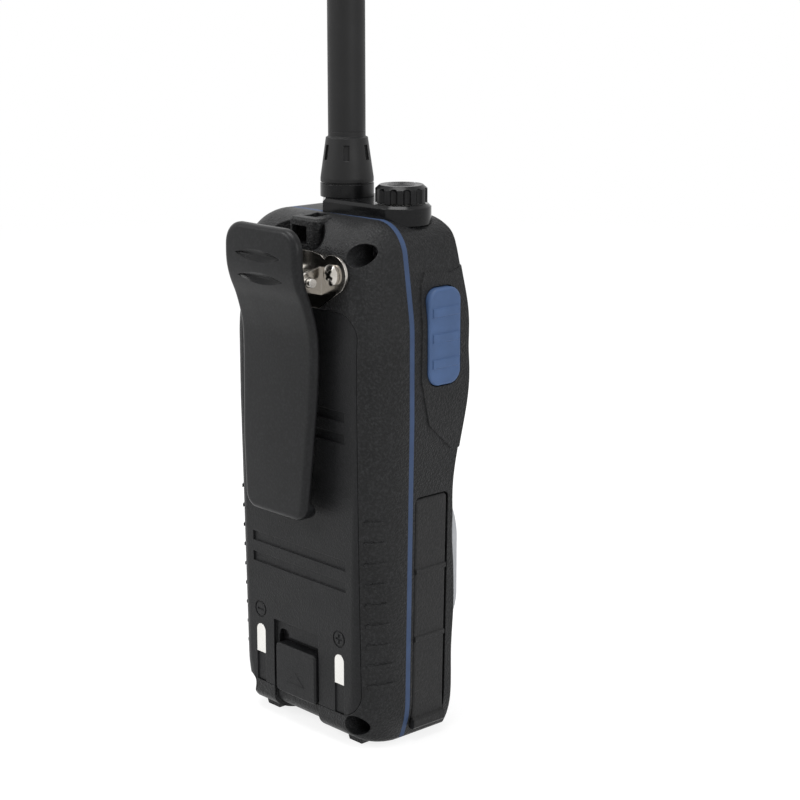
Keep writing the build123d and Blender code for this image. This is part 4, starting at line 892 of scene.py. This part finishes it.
def printed_sign(node, outlines):
    """A sign laid on the key's curved face."""
    low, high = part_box(node)
    centre_x, centre_z = (low[0] + high[0]) / 2, (low[2] + high[2]) / 2
    target = surface_of(node)
    bm = bmesh.new()
    for outline in outlines:
        bm.faces.new([bm.verts.new((centre_x + x * MM, 0, centre_z + z * MM)) for x, z in outline])
    bmesh.ops.triangulate(bm, faces=bm.faces)
    long_edges = [edge for edge in bm.edges if edge.calc_length() > SIGN_EDGE * MM]
    bmesh.ops.subdivide_edges(bm, edges=long_edges, cuts=2)
    for vertex in bm.verts:
        hit = target.ray_cast(Vector((vertex.co.x, IN_FRONT_Y * MM, vertex.co.z)), Vector((0, 1, 0)))[0]
        vertex.co.y = hit.y - SIGN_LIFT * MM
    bmesh.ops.solidify(bm, geom=bm.faces, thickness=SIGN_THICKNESS * MM)
    return finish_mesh(bm, f"{node}_sign")


for node, outlines in KEY_SIGNS.items():
    add_piece(f"{node}_sign", printed_sign(node, outlines), node, print_white)

# ---------------------------------------------------------------- gauze behind the speaker grille
GAUZE_RADIUS, GAUZE_FRONT_Y, GAUZE_SAG, GAUZE_THICKNESS = 14.2, -12.35, 0.6, 0.15
GAUZE_STEPS, GAUZE_SHARP_ANGLE = 6, 40


def speaker_gauze():
    """Thin dish over the speaker's front."""
    low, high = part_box("speaker")
    centre = ((low[0] + high[0]) / 2, (low[2] + high[2]) / 2)
    front = [(GAUZE_RADIUS * t / GAUZE_STEPS, GAUZE_FRONT_Y + GAUZE_SAG * (t / GAUZE_STEPS) ** 2)
             for t in range(GAUZE_STEPS + 1)]
    back = [(radius, y + GAUZE_THICKNESS) for radius, y in front[::-1]]
    return finish_mesh(revolved(front + back, centre), "speaker_gauze", GAUZE_SHARP_ANGLE)


add_piece("speaker_gauze", speaker_gauze(), "housing", gauze)

# ---------------------------------------------------------------- floor and backdrop
FLOOR_SIZE = 6.0
SHADOW_NEAR, SHADOW_FAR = 0.35, 0.90
NEAR_GLOW = 0.82


def seen_directly(tree):
    """1 for camera, glossy and transmission rays, else 0."""
    path = tree.nodes.new("ShaderNodeLightPath")
    total = path.outputs["Is Camera Ray"]
    for name in ("Is Glossy Ray", "Is Transmission Ray"):
        most = tree.nodes.new("ShaderNodeMath")
        most.operation = "MAXIMUM"
        tree.links.new(total, most.inputs[0])
        tree.links.new(path.outputs[name], most.inputs[1])
        total = most.outputs[0]
    return total


def studio_white():
    """Pale floor: white to the camera and in reflections, with the object's shadow near it."""
    n = Nodes("studio_white")
    tone = n.tint(n.ramp(n.noise(scale=1.5, detail=2.0), low=0.0, high=1.0), FLOOR_DARK, FLOOR_LIGHT)
    n.set(Base_Color=tone, Roughness=0.9, Specular_IOR_Level=0.0)
    soft = n.add("ShaderNodeBsdfDiffuse")
    soft.inputs["Color"].default_value = FLOOR_SHADOWED
    glow = n.add("ShaderNodeEmission")
    glow.inputs["Strength"].default_value = NEAR_GLOW
    near = n.add("ShaderNodeAddShader")
    n.link(soft.outputs[0], near.inputs[0])
    n.link(glow.outputs[0], near.inputs[1])
    white = n.add("ShaderNodeEmission")
    white.inputs["Strength"].default_value = 1.0
    distance = n.add("ShaderNodeVectorMath", operation="LENGTH")
    n.link(n.place, distance.inputs[0])
    fade = n.ramp(distance.outputs["Value"], low=0.0, high=1.0, start=SHADOW_NEAR, end=SHADOW_FAR)
    shown = n.mix_shader(fade, near.outputs[0], white.outputs[0])
    n.link(n.mix_shader(seen_directly(n.tree), n.shader.outputs[0], shown), n.output.inputs["Surface"])
    return n.material


def add_floor():
    """Square of floor under the radio."""
    mesh = bpy.data.meshes.new("floor")
    h = FLOOR_SIZE / 2
    mesh.from_pydata([(-h, -h, 0), (h, -h, 0), (h, h, 0), (-h, h, 0)], [], [(0, 1, 2, 3)])
    mesh.materials.append(studio_white())
    floor = new_object("floor", mesh)


add_floor()

# ---------------------------------------------------------------- lights and world
LIT_POINT = Vector((0.0, 0.0, 0.08))
AMBIENT, BACKDROP = 0.5, 1.0


def area_light(name, place, size, power):
    """Rectangular lamp that faces the middle of the radio."""
    data = bpy.data.lights.new(name, "AREA")
    data.shape = "RECTANGLE"
    data.size, data.size_y = size
    data.energy = power
    lamp = new_object(name, data)
    lamp.location = place
    lamp.rotation_euler = (LIT_POINT - Vector(place)).to_track_quat("-Z", "Y").to_euler()


area_light("left_softbox", (0.65, 1.00, 0.85), (0.5, 0.5), 7.0)
area_light("side_softbox", (-1.25, 0.15, 0.60), (0.6, 0.9), 5.5)
area_light("top_softbox", (0.05, 0.15, 1.35), (0.7, 0.7), 11.0)


def add_world():
    """Even grey light, and a white backdrop for what is seen directly or mirrored."""
    world = bpy.data.worlds.new("studio")
    bpy.context.scene.world = world
    world.use_nodes = True
    tree = world.node_tree
    tree.nodes.clear()
    mix = tree.nodes.new("ShaderNodeMixShader")
    tree.links.new(seen_directly(tree), mix.inputs[0])
    for strength, target in zip((AMBIENT, BACKDROP), mix.inputs[1:]):
        shader = tree.nodes.new("ShaderNodeBackground")
        shader.inputs["Color"].default_value = (1, 1, 1, 1)
        shader.inputs["Strength"].default_value = strength
        tree.links.new(shader.outputs[0], target)
    out = tree.nodes.new("ShaderNodeOutputWorld")
    tree.links.new(mix.outputs[0], out.inputs[0])


add_world()

# ---------------------------------------------------------------- camera at the photograph's angle
CAMERA_PLACE = Vector((-0.3559, 0.3111, 0.1938))
CAMERA_AZIMUTH = math.radians(227.4)
CAMERA_RISE = math.radians(13.3)
FOCAL_PIXELS, IMAGE_PIXELS = 1950.0, 800.0
SENSOR_WIDTH = 36.0
NEAREST_SEEN = 0.01

camera_data = bpy.data.cameras.new("camera")
camera_data.sensor_width = SENSOR_WIDTH
camera_data.lens = SENSOR_WIDTH * FOCAL_PIXELS / IMAGE_PIXELS
camera_data.clip_start = NEAREST_SEEN
camera = new_object("camera", camera_data)
backwards = Vector((math.sin(CAMERA_AZIMUTH) * math.cos(CAMERA_RISE),
                    -math.cos(CAMERA_AZIMUTH) * math.cos(CAMERA_RISE), math.sin(CAMERA_RISE)))
camera.location = CAMERA_PLACE
camera.rotation_euler = backwards.to_track_quat("Z", "Y").to_euler()
bpy.context.scene.camera = camera
bpy.context.scene.view_settings.view_transform = "Standard"
